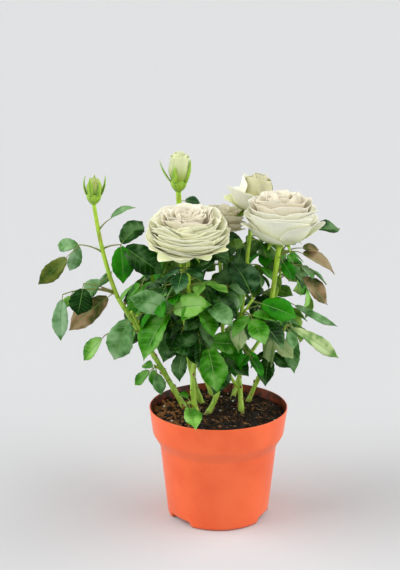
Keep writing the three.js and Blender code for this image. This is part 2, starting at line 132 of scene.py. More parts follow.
# Foliage: the stem's radii and line, how many leaves the source's spiral rule and the finer filling
# rule offer it, and which of those are left out where the foliage is open. Then its own leaves, which its
# solid holds too, and extra ones, which the solid doesn't. A leaf is its place along the stem, azimuth,
# rise, stalk, end leaflet, number of leaflets, sag, roll, the tints of its leaflets in turn, and last what
# differs from the solid's leaf. That is any of those numbers, the leaflets' width, the turn, stalklet and
# droop of its end leaflet, or the turns, droop and roll of its side leaflets.
SHOOTS = {
    "foliage_left_tip": {
        "radii": (2.1, 1.9), "line": ((-93, 0, 212), (-105, -4, 254), (-113, -6, 303)),
        "leaves": (
            (0.05, 189, 50, 31, 46, 5, 90, -10, "silver",
             {"rise": 24, "stalk": 53, "size": 38, "count": 1, "sag": 44, "roll": -70,
              "end_turn": 62, "end_droop": 5, "width": 0.4}),
            (0.26, 178, -12, 4, 26, 1, 20, -40, "grey"),
            (0.52, 186, 46, 45, 38, 3, 72, -20, ("grey", "silver", "bronze_back"),
             {"rise": 38, "stalk": 24, "size": 35, "sag": 34, "roll": -62, "turns": (-8, 74),
              "side_droop": 38, "end_turn": 46, "end_stalklet": 17, "width": 0.46}),
            (0.56, -6, 26, 18, 34, 3, 30, 50, ("bright", "dark", "dark"),
             {"turns": (-80, 60), "rise": 30, "size": 41, "end_turn": -30}),
            (0.74, -8, 52, 10, 24, 1, 15, 20, "grey", {"rise": 57, "stalk": 12}),
        ),
        "extra": (
            (0.08, 189, -30, 4, 50, 1, 10, -65, "bronze", {"end_turn": -5, "width": 0.44}),
            (0.05, 189, 36, 33, 25, 1, 30, -70, "dark", {"end_turn": 84, "width": 0.9}),
            (0.06, 189, 34, 21, 21, 1, 40, -60, "silver", {"end_turn": -140, "width": 0.36}),
            (0.05, 189, 26, 42, 13, 1, 40, -60, "fresh", {"end_turn": 40}),
        ),
    },
    "foliage_left_low": {
        "radii": (1.4, 1.0), "line": ((-66, 5, 168), (-73, -4, 184), (-80, -15, 204)),
        "fill": 4,
        "leaves": (
            (0.3, 188, 32, 38, 26, 1, 62, -30, "fresh", {"stalk": 41, "size": 29}),
            (0.6, 105, 40, 12, 16, 1, 20, 0, "bright"),
            (0.97, 200, -45, 3, 46, 1, 18, -40, "grey", {"azimuth": 207, "size": 42}),
            (0.8, 30, 35, 12, 28, 3, 30, 30, "green"),
        ),
    },
    "foliage_left_foot": {
        "radii": (1.3, 1.0), "line": ((-48, 8, 131), (-54, 2, 141), (-60, -4, 148)),
        "leaves": (
            (0.75, 190, 14, 4, 20, 3, 40, -30, "green"),
            (0.95, -70, -25, 4, 20, 1, 20, 0, "grey"),
        ),
    },
    "foliage_front": {
        "radii": (2.2, 1.8), "line": ((-20, -15, 166), (-26, -19, 208), (-28, -24, 258)),
        "spiral": 10, "fill": 46,
        "leaves": (
            (0.42, -138, 62, 33, 46, 3, 78, -10, ("grey", "fresh", "green"),
             {"turns": (-50, 112), "side_droop": -24, "side_roll": 40}),
            (0.1, -68, 55, 36, 42, 3, 76, -5, ("dark", "green", "green"),
             {"turns": (-88, 88), "side_droop": 4, "side_roll": 34}),
            (0.56, -50, 40, 22, 32, 1, 45, 25, "grey"),
            (0.72, 165, 14, 22, 34, 3, 30, -30, "dark"),
            (0.62, -5, 20, 14, 32, 3, 35, 30, "dark"),
        ),
    },
    "foliage_front_foot": {
        "radii": (1.2, 1.0), "line": ((-21, -12, 106), (-25, -26, 118), (-28, -40, 124)),
        "leaves": (
            (0.97, -82, -8, 3, 24, 1, 9, 0, "fresh", {"azimuth": -78, "size": 26}),
            (0.5, 120, 40, 4, 14, 1, 20, 0, "green"),
        ),
    },
    "foliage_centre": {
        "radii": (1.9, 1.8), "line": ((4, 8, 160), (3, 18, 214), (-1, 28, 263)),
        "spiral": 14, "fill": 74,
        "leaves": (
            (0.6, -60, 24, 8, 28, 3, 45, 0, "green"),
            (0.4, -110, 25, 10, 28, 3, 45, 0, "dark"),
        ),
    },
    "foliage_front_right": {
        "radii": (1.6, 1.1), "line": ((20, 5, 122), (8, -8, 162), (30, -36, 221)),
        "spiral": 8, "fill": 34, "open": {"fill": (3,)},
        "leaves": (
            (1.0, 108, 58, 2, 50, 1, 20, 0, "blue"),
            (0.98, -20, 4, 5, 34, 1, 25, 55, "bright", {"rise": 16}),
            (0.92, -125, -40, 5, 30, 1, 20, 0, "pale"),
            (0.74, -110, -12, 4, 36, 1, 45, 20, "bright"),
            (0.3, -62, 18, 8, 28, 3, 50, 0, "grey", {"azimuth": 60, "rise": 60, "size": 20}),
        ),
    },
    "foliage_centre_right": {
        "radii": (1.9, 1.9), "line": ((18, 10, 160), (24, 26, 212), (31, 40, 278)),
        "spiral": 12, "fill": 64,
        "leaves": (
            (0.72, -165, 24, 10, 28, 3, 30, -20, "dark"),
            (0.6, -70, 14, 8, 28, 3, 45, 0, "green"),
        ),
        "extra": ((0.74, 186, 40, 10, 28, 3, 30, 72, "dark"), (0.82, 206, 24, 8, 25, 3, 30, -62, "dark")),
    },
    "foliage_right": {
        "radii": (1.9, 2.5), "line": ((43, 22, 139), (49, 9, 204), (55, -3, 264)),
        "spiral": 9, "fill": 26, "open": {"spiral": (4,)},
        "leaves": (
            (0.88, -2, 40, 27, 32, 3, 52, 35, "bronze",
             {"rise": 44, "stalk": 22, "size": 37, "count": 1, "width": 0.5}),
            (0.76, -8, 8, 28, 33, 3, 45, 35, "bronze",
             {"rise": 18, "stalk": 23, "size": 37, "count": 1, "width": 0.5}),
            (0.9, 24, 44, 44, 24, 1, 42, 20, "dark", {"rise": 52, "size": 27.8, "roll": 34}),
            (0.52, 6, 16, 20, 46, 1, 33, 15, "grey", {"rise": 8, "size": 52.4, "width": 0.15, "roll": 60}),
            (0.9, -60, -10, 5, 20, 1, 20, 30, "bright"),
        ),
        "extra": ((0.9, 4, 36, 20, 16, 1, 30, 40, "bronze"),),
    },
    "foliage_right_low": {
        "radii": (1.4, 1.0), "line": ((34, 25.5, 113), (52, 10, 158), (62, -14, 190)),
        "spiral": 5, "fill": 20, "open": {"spiral": (3,), "fill": (18,)},
        "leaves": (
            (1.0, 2, -15, 10, 50, 1, 15, 40, "pale", {"width": 0.27, "stalk": 3, "size": 55, "rise": -12}),
            (0.96, -70, -40, 3, 46, 1, 40, 0, "grey", {"rise": 20, "size": 18}),
            (0.9, -160, -5, 12, 30, 3, 55, -20, "pale"),
            (0.35, -50, 20, 8, 26, 3, 50, 0, "green", {"rise": 66, "size": 15}),
        ),
        "extra": (
            (0.9, 0, 70, 9, 42, 1, 60, 75, "grey", {"end_turn": -98, "end_droop": 5, "width": 0.36}),
        ),
    },
    "foliage_top": {
        "radii": (2.0, 2.6), "line": ((-31, 18, 175), (-34, 18, 244), (-37, 8, 312)),
        "spiral": 12, "fill": 34, "open": {"spiral": (10, 11)},
        "leaves": (
            (0.92, 12, 15, 5, 12, 1, 10, 0, "blue", {"stalk": 1, "rise": 8, "size": 15, "roll": 55}),
        ),
    },
    "foliage_rear_left": {
        "radii": (1.7, 1.1), "line": ((-34, 62, 148), (-52, 70, 190), (-58, 72, 240)),
        "spiral": 12, "fill": 34, "leaves": (),
        "extra": ((0.99, 60, 50, 6, 22, 3, 70, 0, "green"), (0.96, -110, 40, 8, 24, 3, 60, 0, "dark"),
                  (0.92, -10, 50, 8, 26, 5, 60, 0, "dark")),
    },
    "foliage_rear_right": {
        "radii": (1.7, 1.1), "line": ((40, 62, 150), (56, 68, 192), (62, 66, 244)),
        "spiral": 12, "fill": 36, "leaves": (), "open": {"fill": (18,)},
        "extra": ((0.99, 100, 56, 8, 28, 5, 60, 0, "dark"), (0.96, -60, 50, 8, 24, 3, 60, 0, "green"),
                  (0.92, 200, 50, 8, 26, 5, 60, 0, "bright")),
    },
}

# Tints of leaves: the top, how much painted sheen it takes, the back, and the chance that a leaf of the
# rules takes it.
TINTS = {
    "green": ((52, 126, 0), 0.48, (128, 166, 58), 0.29),
    # dark: a deep green, darkened further as painted shade, the shade deep inside the crown
    "dark": ((14, 62, 0), 0.46, (104, 146, 50), 0.3),
    # bright: a saturated green that is partly painted light, the glow of light shining through a leaf from
    # behind
    "bright": ((34, 122, 0), 0.12, (152, 190, 46), 0.11),
    # fresh: a pale young green, lightened further as painted light
    "fresh": ((124, 182, 72), 0.4, (142, 176, 84), 0.08),
    # grey: a grey-green that is a painted sheen, the pale reflection on a glossy leaf
    "grey": ((98, 146, 84), 0.58, (130, 160, 90), 0.13),
    "blue": ((22, 70, 28), 0.46, (110, 146, 82), 0.05),
    "pale": ((176, 196, 134), 0.3, (136, 166, 84), 0),
    # silver: a paler grey-green, also a painted sheen
    "silver": ((134, 172, 128), 0.5, (136, 170, 110), 0.04),
    "bronze": ((140, 112, 78), 0.3, (158, 126, 92), 0),
    "bronze_back": ((98, 110, 40), 0.2, (130, 104, 60), 0),
}
MIDRIB = ((84, 132, 44), (150, 176, 96))  # above and below


# ---------------- small helpers

MASK = 0xFFFFFFFF


def seeded(seed):
    """A repeatable stream of numbers from 0 to 1, the one that the solids' leaves draw from."""
    state = seed & MASK

    def draw():
        nonlocal state
        state = (state + 0x6D2B79F5) & MASK
        t = ((state ^ (state >> 15)) * (state | 1)) & MASK
        t ^= (t + ((t ^ (t >> 7)) * (t | 61))) & MASK
        return (t ^ (t >> 14)) / (MASK + 1)

    return draw


def heading(azimuth, rise):
    """The unit vector of an azimuth and a rise."""
    a, r = math.radians(azimuth), math.radians(rise)
    return Vector((math.cos(a) * math.cos(r), math.sin(a) * math.cos(r), math.sin(r)))


def turned(vector, axis, degrees):
    """A vector turned about an axis."""
    return Quaternion(axis, math.radians(degrees)) @ vector


def blend(a, b, t):
    """The value between two others."""
    return a + (b - a) * t


def smooth(low, high, value):
    """0 below low, 1 above high, and an even slope between."""
    t = min(max((value - low) / (high - low), 0), 1)
    return t * t * (3 - 2 * t)


class Curve:
    """A smooth curve with one control point."""

    def __init__(self, start, control, end):
        self.start, self.control, self.end = Vector(start), Vector(control), Vector(end)

    @classmethod
    def through(cls, start, middle, end):
        """The curve whose middle passes through a point."""
        return cls(start, 2 * Vector(middle) - (Vector(start) + Vector(end)) / 2, end)

    def point(self, t):
        """The place at t from 0 to 1."""
        return self.start * (1 - t) ** 2 + self.control * 2 * t * (1 - t) + self.end * t * t

    def tangent(self, t):
        """The direction at t from 0 to 1."""
        ahead = (self.control - self.start) * (1 - t) + (self.end - self.control) * t
        return ahead.normalized()

    def length(self):
        """The curve's length, nearly."""
        points = [self.point(i / 8) for i in range(9)]
        return sum((b - a).length for a, b in zip(points, points[1:]))


def placed(name, data):
    """A new object of a mesh, light or camera, in the scene."""
    made = bpy.data.objects.new(name, data)
    bpy.context.scene.collection.objects.link(made)
    return made


def mesh_of(bm, name):
    """A finished bmesh as a mesh."""
    mesh = bpy.data.meshes.new(name)
    bm.to_mesh(mesh)
    bm.free()
    return mesh


# ---------------- materials


def srgb(red, green, blue):
    """A colour given in the usual 0 to 255 steps, as the shader's linear values."""

    def linear(step):
        value = step / 255
        return value / 12.92 if value <= 0.04045 else ((value + 0.055) / 1.055) ** 2.4

    return (linear(red), linear(green), linear(blue), 1)


class Value:
    """A socket in a shader, so that arithmetic on it adds Math nodes."""

    def __init__(self, surface, socket):
        self.surface, self.socket = surface, socket

    def maths(self, operation, *values):
        """A Math node on this value and others."""
        inputs = dict(enumerate((self, *values)))
        return self.surface.node("Math", {"operation": operation}, inputs)

    def __add__(self, other):
        return self.maths("ADD", other)

    def __sub__(self, other):
        return self.maths("SUBTRACT", other)

    def __rsub__(self, other):
        return self * -1 + other

    def __mul__(self, other):
        return self.maths("MULTIPLY", other)

    __radd__, __rmul__ = __add__, __mul__

    def rising(self, low, high):
        """0 below low, 1 above high, and a smooth slope between."""
        settings = {"interpolation_type": "SMOOTHSTEP"}
        return self.surface.node("MapRange", settings, {0: self, 1: low, 2: high})


class Surface:
    """A material with one Principled shader; fixed numbers go straight on its sockets."""

    def __init__(self, name, **fixed):
        self.material = bpy.data.materials.new(name)
        self.material.use_nodes = True
        self.tree = self.material.node_tree
        self.shader = self.tree.nodes["Principled BSDF"]
        for socket, value in fixed.items():
            self.shader.inputs[socket.replace("_", " ")].default_value = value

    def node(self, kind, settings=None, inputs=None, output=0):
        """Adds a node: its settings first, then the values or links of its sockets."""
        made = self.tree.nodes.new("ShaderNode" + kind)
        for name, value in (settings or {}).items():
            setattr(made, name, value)
        for socket, value in (inputs or {}).items():
            if isinstance(value, Value):
                self.tree.links.new(value.socket, made.inputs[socket])
            else:
                made.inputs[socket].default_value = value
        return Value(self, made.outputs[output])

    def place(self, source="Object"):
        """Where a point is on the piece, or in its UV map."""
        return self.node("TexCoord", output=source)

    def stretched(self, place, scale):
        """A place whose axes are scaled, for a pattern that runs one way."""
        return self.node("Mapping", None, {"Vector": place, "Scale": scale})

    def along(self, place, axis):
        """One axis of a place."""
        return self.node("SeparateXYZ", None, {0: place}, axis)

    def speckle(self, place, scale, detail=3.0, roughness=0.55):
        """A soft random pattern from 0 to 1."""
        inputs = {"Vector": place, "Scale": scale, "Detail": detail, "Roughness": roughness}
        return self.node("TexNoise", None, inputs)

    def mixed(self, a, b, factor):
        """A colour between two others."""
        return self.node("Mix", {"data_type": "RGBA"}, {0: factor, 6: a, 7: b}, 2)

    def feed(self, socket, value):
        """Links a value to a socket of the shader."""
        self.tree.links.new(value.socket, self.shader.inputs[socket])

    def relief(self, height, strength, depth):
        """Bumps the surface by a height pattern; depth is in millimetres."""
        inputs = {"Height": height, "Strength": strength, "Distance": depth * MM}
        self.feed("Normal", self.node("Bump", None, inputs))


def plain_surface(name, colour, roughness):
    """A material of one colour."""
    return Surface(name, Base_Color=srgb(*colour), Roughness=roughness).material


VEINS = 8  # to a side of a leaflet
VEIN_SLANT = 0.1  # how far side veins run on towards the tip before they meet the edge
# The pale grey-green of the painted sheen on leaves, a painted reflection of their bright surroundings.
SHEEN_COLOUR = (184, 208, 170)


def leaf_surface(name, colour, roughness, gloss, sheen):
    """A leaf's skin: side veins drawn as shallow, paler furrows, and clouds of painted sheen and painted
    shade over its colour.
    """
    surface = Surface(name, Base_Color=srgb(*colour), Roughness=roughness, Specular_IOR_Level=0.06,
                      Coat_Weight=gloss, Coat_Roughness=0.26, Subsurface_Weight=0.12,
                      Subsurface_Radius=(0.5, 1.0, 0.2), Subsurface_Scale=0.0012)
    place = surface.place("UV")
    across = (surface.along(place, 0) - 0.5).maths("ABSOLUTE") * 2
    up = surface.along(place, 1)
    vein = ((up - across * VEIN_SLANT) * 2 * math.pi * VEINS).maths("SINE")
    fine = surface.speckle(surface.place(), 900, 2)
    surface.relief(vein.rising(0.35, 1.0) * -0.6 + fine * 0.3, 0.3, 0.3)
    # Painted shade and painted sheen: darker clouds stand for the shade of a leaf's folds, paler clouds for
    # its glossy reflection.
    shade_colour = tuple(step * share for step, share in zip(colour, (0.5, 0.68, 0.4)))
    sheen_and_vein_colour = tuple(blend(step, painted_sheen, sheen) for step, painted_sheen in zip(colour, SHEEN_COLOUR))
    cloud = surface.speckle(surface.place(), 60, 2)
    plain = surface.mixed(srgb(*shade_colour), srgb(*colour), cloud.rising(0.32, 0.54))
    lit = surface.mixed(plain, srgb(*sheen_and_vein_colour), cloud.rising(0.46, 0.72))
    # The side veins take a little of the paler colour, as real veins are paler.
    surface.feed("Base Color", surface.mixed(lit, srgb(*sheen_and_vein_colour), vein.rising(0.6, 1.0) * 0.2))
    return surface.material


def leaf_surfaces():
    """The tops of the leaves by tint, their midribs, and then the undersides in the same order."""
    tops = [
        leaf_surface("leaf_" + tint, top, roughness=0.38, gloss=0.05, sheen=painted_sheen)
        for tint, (top, painted_sheen, _, _) in TINTS.items()
    ]
    backs = [
        leaf_surface("leaf_back_" + tint, back, roughness=0.62, gloss=0, sheen=0.3)
        for tint, (_, _, back, _) in TINTS.items()
    ]
    above, below = MIDRIB
    return [*tops, plain_surface("midrib", above, 0.45), *backs, plain_surface("midrib_back", below, 0.55)]


def stem_surface(name, young, old, blush):
    """Green bark: paler streaks along it, and a reddish blush in patches."""
    surface = Surface(name, Roughness=0.42)
    place = surface.place()
    streaks = surface.speckle(surface.stretched(place, (1, 1, 0.18)), 420, 3)
    patches = surface.speckle(place, 38, 2)
    green = surface.mixed(srgb(*young), srgb(*old), streaks.rising(0.4, 0.7))
    surface.feed("Base Color", surface.mixed(green, srgb(*blush), patches.rising(0.58, 0.74) * 0.55))
    surface.relief(streaks, 0.4, 0.3)
    return surface.material


def cane_surface():
    """Bark of a cane: bright green above, browner and rougher where it leaves the peat."""
    surface = Surface("cane_bark", Roughness=0.48)
    place = surface.place()
    height = surface.along(place, 2)
    streaks = surface.speckle(surface.stretched(place, (1, 1, 0.15)), 380, 4)
    patches = surface.speckle(place, 60, 3)
    green = surface.mixed(srgb(184, 222, 84), srgb(138, 190, 52), streaks.rising(0.38, 0.72))
    marked = surface.mixed(green, srgb(154, 136, 66), patches.rising(0.6, 0.74) * 0.6)
    above = height - patches * 0.012
    low = (SOIL_TOP * MM - above).rising(0.0, 0.01)
    surface.feed("Base Color", surface.mixed(marked, srgb(112, 84, 48), low))
    surface.relief(streaks * 0.7 + patches * 0.5, 0.6, 0.5)
    return surface.material


def petal_surface(name, lip, claw, reach):
    """A petal: its colour deepens towards its claw, and fine veins run up it."""
    surface = Surface(name, Roughness=0.6, Subsurface_Weight=0.3, Subsurface_Radius=(1.0, 1.0, 0.9),
                      Subsurface_Scale=0.0015)
    place = surface.place("UV")
    up = surface.along(place, 1)
    veins = surface.speckle(surface.stretched(place, (26, 1.2, 1)), 1.0, 3)
    cloud = surface.speckle(surface.place(), 90, 2)
    faded = (up + veins * 0.12).rising(0.04, reach + 0.06)
    plain = surface.mixed(srgb(*claw), srgb(*lip), faded)
    shade = tuple(step * 0.965 for step in lip)
    surface.feed("Base Color", surface.mixed(plain, srgb(*shade), cloud.rising(0.5, 0.75) * 0.5))
    surface.relief(veins, 0.35, 0.25)
    return surface.material


WALL_SLOPE = 0.128  # of the collar
WALL_FOOT = 51.3  # the collar's radius, if its slope went on down to the ground


def pot_surface():
    """Moulded orange plastic; its inner wall above the peat is painted near black, as painted shade with
    some dirt.
    """
    surface = Surface("orange_plastic", Roughness=0.4, Coat_Weight=0.2, Coat_Roughness=0.3,
                      Subsurface_Weight=0.1, Subsurface_Radius=(1.0, 0.4, 0.2), Subsurface_Scale=0.003)
    place = surface.place()
    cloud = surface.speckle(place, 24, 3)
    grain = surface.speckle(place, 2600, 2)
    orange = surface.mixed(srgb(236, 92, 34), srgb(248, 106, 48), cloud.rising(0.3, 0.7))
    flat = surface.node("VectorMath", {"operation": "MULTIPLY"}, {0: place, 1: (1, 1, 0)})
    radius = surface.node("VectorMath", {"operation": "LENGTH"}, {0: flat}, "Value")
    height = surface.along(place, 2)
    depth = height * WALL_SLOPE + WALL_FOOT * MM - radius  # of a place behind the wall's middle
    # The inner wall above the peat, painted near black: painted shade inside the pot, patchy as dirt.
    wall = depth.rising(0.0004, 0.0011) * height.rising(0.09, 0.094)
    dirt = surface.speckle(place, 160, 5).rising(0.3, 0.62)
    shade_and_dirt = wall * (0.6 + dirt * 0.38)
    surface.feed("Base Color", surface.mixed(orange, srgb(42, 20, 14), shade_and_dirt))
    surface.feed("Roughness", cloud * 0.12 + 0.36)
    surface.relief(grain * 0.5 + cloud, 0.25, 0.2)
    return surface.material


def peat_surface():
    """Moist peat, near black with reddish brown fibres."""
    surface = Surface("peat", Roughness=0.9, Specular_IOR_Level=0.3)
    place = surface.place()
    coarse = surface.speckle(place, 190, 6, 0.7)
    fine = surface.speckle(place, 1500, 4)
    brown = surface.mixed(srgb(18, 12, 4), srgb(80, 52, 20), coarse.rising(0.42, 0.72))
    surface.feed("Base Color", surface.mixed(brown, srgb(130, 88, 42), fine.rising(0.64, 0.82) * 0.5))
    surface.relief(coarse + fine * 0.6, 0.9, 1.6)
    return surface.material


# ---------------- pieces


class Piece:
    """One mesh of the scene, joined from shapes in millimetres."""

    def __init__(self, name, *materials):
        self.name, self.materials = name, materials
        self.bm = bmesh.new()
        self.bm.loops.layers.uv.new("UVMap")

    def add(self, shape, move, surface=0):
        """Joins a copy of a mesh, each point moved by a function and given one material."""
        before = len(self.bm.verts), len(self.bm.faces)
        self.bm.from_mesh(shape)
        self.bm.verts.ensure_lookup_table()
        self.bm.faces.ensure_lookup_table()
        for index in range(before[0], len(self.bm.verts)):
            vert = self.bm.verts[index]
            vert.co = move(*vert.co)
        for index in range(before[1], len(self.bm.faces)):
            face = self.bm.faces[index]
            face.smooth = True
            face.material_index += surface

    def finish(self, slot, *nodes, thickness=0, backs=0, levels=0):
        """Makes the object in place of solids; the slot is not used.

        Sheets get a thickness, and their backs the material that many places on.
        """
        mesh = mesh_of(self.bm, self.name)
        mesh.transform(Matrix.Scale(MM, 4))
        for material in self.materials:
            mesh.materials.append(material)
        made = placed(self.name, mesh)
        if thickness:
            shell = made.modifiers.new("thickness", "SOLIDIFY")
            shell.thickness, shell.offset, shell.material_offset = thickness * MM, -1, backs
        if levels:
            finer = made.modifiers.new("smooth", "SUBSURF")
            finer.levels = finer.render_levels = levels
        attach(made, "root")
        if nodes:
            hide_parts(*nodes)


@lru_cache(maxsize=None)
def template(kind, *counts):
    """A plain shape to copy: a sheet, a rod or a crumb, made once for each count of faces."""
    bm = bmesh.new()
    if kind == "sheet":
        bm.loops.layers.uv.new("UVMap")
        bmesh.ops.create_grid(bm, x_segments=counts[0], y_segments=counts[1], size=1, calc_uvs=True)
    elif kind == "rod":
        sides, steps = counts
        bmesh.ops.create_cone(bm, cap_ends=True, segments=sides, radius1=1, radius2=1, depth=2)
        upright = [e for e in bm.edges if abs(e.verts[0].co.z - e.verts[1].co.z) > 1]
        bmesh.ops.subdivide_edges(bm, edges=upright, cuts=steps - 1, use_grid_fill=True)
    elif kind == "crumb":
        bmesh.ops.create_icosphere(bm, subdivisions=counts[0], radius=1)
    return mesh_of(bm, kind)


def unmoved(x, y, z):
    """A point as it stands, for a mesh that already has its shape."""
    return Vector((x, y, z))


def add_rod(piece, curve, radius, sides, steps, surface=0, relief=None):
    """A closed rod along a curve; radius is a function of the way along it."""
    across = (curve.control - curve.start).cross(curve.end - curve.control)
    if across.length < 1e-3:
        across = curve.tangent(0).cross(Vector((0.3, 0.9, 0.1)))
    across.normalize()

    def move(x, y, z):
        t = (z + 1) / 2
        normal = curve.tangent(t).cross(across)
        wide = radius(t)
        if relief:
            wide *= 1 + relief(math.atan2(y, x), t)
        return curve.point(t) + (across * x + normal * y) * wide

    piece.add(template("rod", sides, steps), move, surface)


# ---------------- leaves

STEM, STALK = 0, 1  # materials of the twigs
LEAF_COLUMNS = 5
LEAF_ROWS = 12
TOOTH = 0.035  # how far every second point of a leaflet's edge stands out
QUILT = 0.012  # rise of the skin between side veins, over the leaflet's length
LEAF_THICKNESS = 0.3
LONGEST_STIPULE = 9


def outline(t):
    """Half of a leaflet's width at t from its foot to its tip, over its greatest width."""
    return 0.5 * math.sin(math.pi * (0.025 + 0.97 * t**0.86)) ** (0.62 + 0.75 * t)


def spread(x, t):
    """A column's place from the midrib (0) to the edge (1): the middle strip is the narrow midrib."""
    if abs(x) < 0.3:
        place = 0.045 - 0.025 * t
    elif abs(x) < 0.7:
        place = 0.55
    else:
        place = 1.0
    return math.copysign(place, x)


def add_leaflet(piece, root, axis, across, normal, stalklet, length, width, tint, draw):
    """A leaflet: folded up from its midrib, quilted between side veins, with a toothed edge."""
    fold = LEAF_FOLD * (0.6 + 0.8 * draw())
    droop = LEAF_DROOP * (0.6 + 1.1 * draw())
    twist = 50 * (draw() - 0.5)
    wave = 0.05 * draw()
    phase = TURN * draw()
    surfaces = list(TINTS)

    def move(x, y, z):
        t = (y + 1) / 2
        row = round(t * LEAF_ROWS)
        out = 1 if row % 2 else -1
        side = spread(x, t)
        half = outline(t) * side
        if abs(side) > 0.9 and 0 < row < LEAF_ROWS:
            half *= 1 + TOOTH * out
        t += VEIN_SLANT * abs(side) * math.sin(math.pi * t)
        lift = fold * width * (abs(half) - 0.7 * half * half) - droop * t * t
        if 0.1 < abs(side) < 0.9:
            lift += QUILT * out
        lift += wave * math.sin(7 * t + phase) * side * abs(side)
        level = turned(across, axis, twist * t)
        above = turned(normal, axis, twist * t)
        return root + axis * (stalklet + t * length) - level * half * width * length + above * lift * length

    first = len(piece.bm.faces)
    piece.add(template("sheet", LEAF_COLUMNS, LEAF_ROWS), move, surfaces.index(tint))
    for row in range(LEAF_ROWS):
        piece.bm.faces[first + row * LEAF_COLUMNS + LEAF_COLUMNS // 2].material_index = len(surfaces)


LEAF_NUMBERS = ("azimuth", "rise", "stalk", "size", "count", "sag", "roll")


class Leaf:
    """A compound leaf worked out by the source's rule, ready to be tested and grown."""

    def __init__(self, root, row, **changes):
        values = dict(zip(LEAF_NUMBERS, row[1:8]), **changes)
        azimuth, rise, stalk, size, count, sag, roll = (values[number] for number in LEAF_NUMBERS)
        pairs = (count - 1) / 2
        length = stalk + max(pairs - 1, 0) * PAIR_SPACING * size
        knee = root + heading(azimuth, rise) * length / 2
        end = knee + heading(azimuth, rise - sag) * length / 2
        self.curve = Curve(root, knee, end)
        self.left = heading(azimuth + 90, 0)
        self.roll, self.droop, self.size = roll, LEAFLET_DROOP * sag, size
        self.turns = changes.get("turns", (-SIDE_TURN, SIDE_TURN))
        self.side_droop = changes.get("side_droop", self.droop)
        self.side_roll = changes.get("side_roll", 0)
        self.end = (
            changes.get("end_turn", 0),
            1.0,
            changes.get("end_stalklet", END_STALKLET),
            changes.get("end_droop", self.droop),
            0,
        )
        self.width = changes.get("width", LEAF_WIDTH)
        # Where leaflets sit: the place on the stalk, the pair's scale, and whether a pair and an end do.
        self.groups = [(1.0, SIDE_SCALE[0], pairs > 0, True)]
        if pairs > 1:
            self.groups.append((1 - PAIR_SPACING * size / length, SIDE_SCALE[1], True, False))

    def leaflets(self):
        """Each leaflet's root, axis, across, normal, stalklet and length."""
        for t, scale, paired, ended in self.groups:
            root, along = self.curve.point(t), self.curve.tangent(t)
            face = turned(along.cross(self.left).normalized(), along, self.roll)
            sides = [
                (turn, scale, SIDE_STALKLET, self.side_droop, math.copysign(self.side_roll, turn))
                for turn in self.turns if paired
            ]
            for turn, share, stalklet, droop, roll in sides + [self.end] * ended:
                across = turned(along, face, turn + 90)
                axis = turned(turned(along, face, turn), across, droop)
                normal = turned(turned(face, across, droop), axis, roll)
                yield root, axis, turned(across, axis, roll), normal, stalklet, share * self.size

    def tip(self):
        """The end leaflet's tip."""
        _, _, paired, _ = self.groups[0]
        root, axis, _, normal, stalklet, length = list(self.leaflets())[2 if paired else 0]
        return root + axis * (stalklet + length) - normal * SOLID_DROOP * length

    def feelers(self):
        """Places on the leaflets that have to keep clear of stems, blooms and pot."""
        for root, axis, across, normal, stalklet, length in self.leaflets():
            for t, half in ((0.35, 0), (0.6, -0.5), (0.6, 0.5), (0.8, 0), (1, 0)):
                aside = across * half * LEAF_WIDTH * length
                yield root + axis * (stalklet + t * length) + aside - normal * LEAF_DROOP * t * t * length

    def grow(self, leaves, twigs, tints, draw):
        """Adds the leaf's blades, stalk and stipules to its mass."""

        def radius(t):
            return blend(STALK_RADIUS, STALK_TIP_RADIUS, t) + 0.5 * (1 - t) ** 8

        add_rod(twigs, self.curve, radius, 6, 6, STALK)
        tints = (tints,) if isinstance(tints, str) else tints
        for i, (root, axis, across, normal, stalklet, length) in enumerate(self.leaflets()):
            tint = tints[i % len(tints)]
            end = root + axis * (stalklet + length * 0.1)
            stalk = Curve(root - axis * 0.3, root + axis * stalklet / 2, end)
            add_rod(twigs, stalk, lambda t: 0.5 - 0.15 * t, 5, 2, STALK)
            add_leaflet(leaves, root, axis, across, normal, stalklet, length, self.width, tint, draw)
        stipule = min(LONGEST_STIPULE, (self.curve.end - self.curve.start).length * 0.5)
        for side in (-1, 1):
            add_stipule(twigs, self.curve, side, stipule)


def add_stipule(piece, curve, side, length):
    """The narrow wing along one side of a leaf stalk's foot, ending in a free point."""
    along = curve.tangent(0)
    across = along.cross(UP).normalized() * side
    above = across.cross(along) * side

    def move(x, y, z):
        t = (y + 1) / 2
        wide = 0.5 + 1.5 * math.sin(math.pi * min(t * 1.2, 1)) * (1 - 0.7 * t) + 1.6 * t * t
        inner = 0.3 + 1.3 * t * t
        out = blend(inner, wide, (x + 1) / 2)
        return curve.start + along * (t * length + 0.8) + across * out + above * (0.5 + 0.4 * t)

    piece.add(template("sheet", 1, 5), move, STEM)


def spiral_leaves(shoot, rule, draw, size):
    """The rows that the source's rule offers to a stem, without those that would close an opening."""
    count = shoot.get(rule)
    if not count:
        return []
    phase = 360 * draw()
    rows = [
        (
            0.08 + 0.84 * (i + 0.5) / count,
            (phase + SPIRAL * i + 30 * (draw() - 0.5)) % 360,
            5 + 35 * draw(),
            12 + 12 * draw(),
            size * (0.8 + 0.35 * draw()),
            5 if draw() < 0.45 else 3,
            30 + 35 * draw(),
            40 * (draw() - 0.5),
        )
        for i in range(count)
    ]
    left_out = shoot.get("open", {}).get(rule, ())
    return [row for i, row in enumerate(rows) if i not in left_out]


def pick_tint(draw):
    """A tint by its chance."""
    chance = draw()
    for tint, (_, _, _, share) in TINTS.items():
        chance -= share
        if chance < 0:
            return tint
    return "green"


def tree_of(name):
    """A solid of the frame as a search tree, in metres."""
    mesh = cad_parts[name].data
    return BVHTree.FromPolygons([v.co for v in mesh.vertices], [p.vertices for p in mesh.polygons])


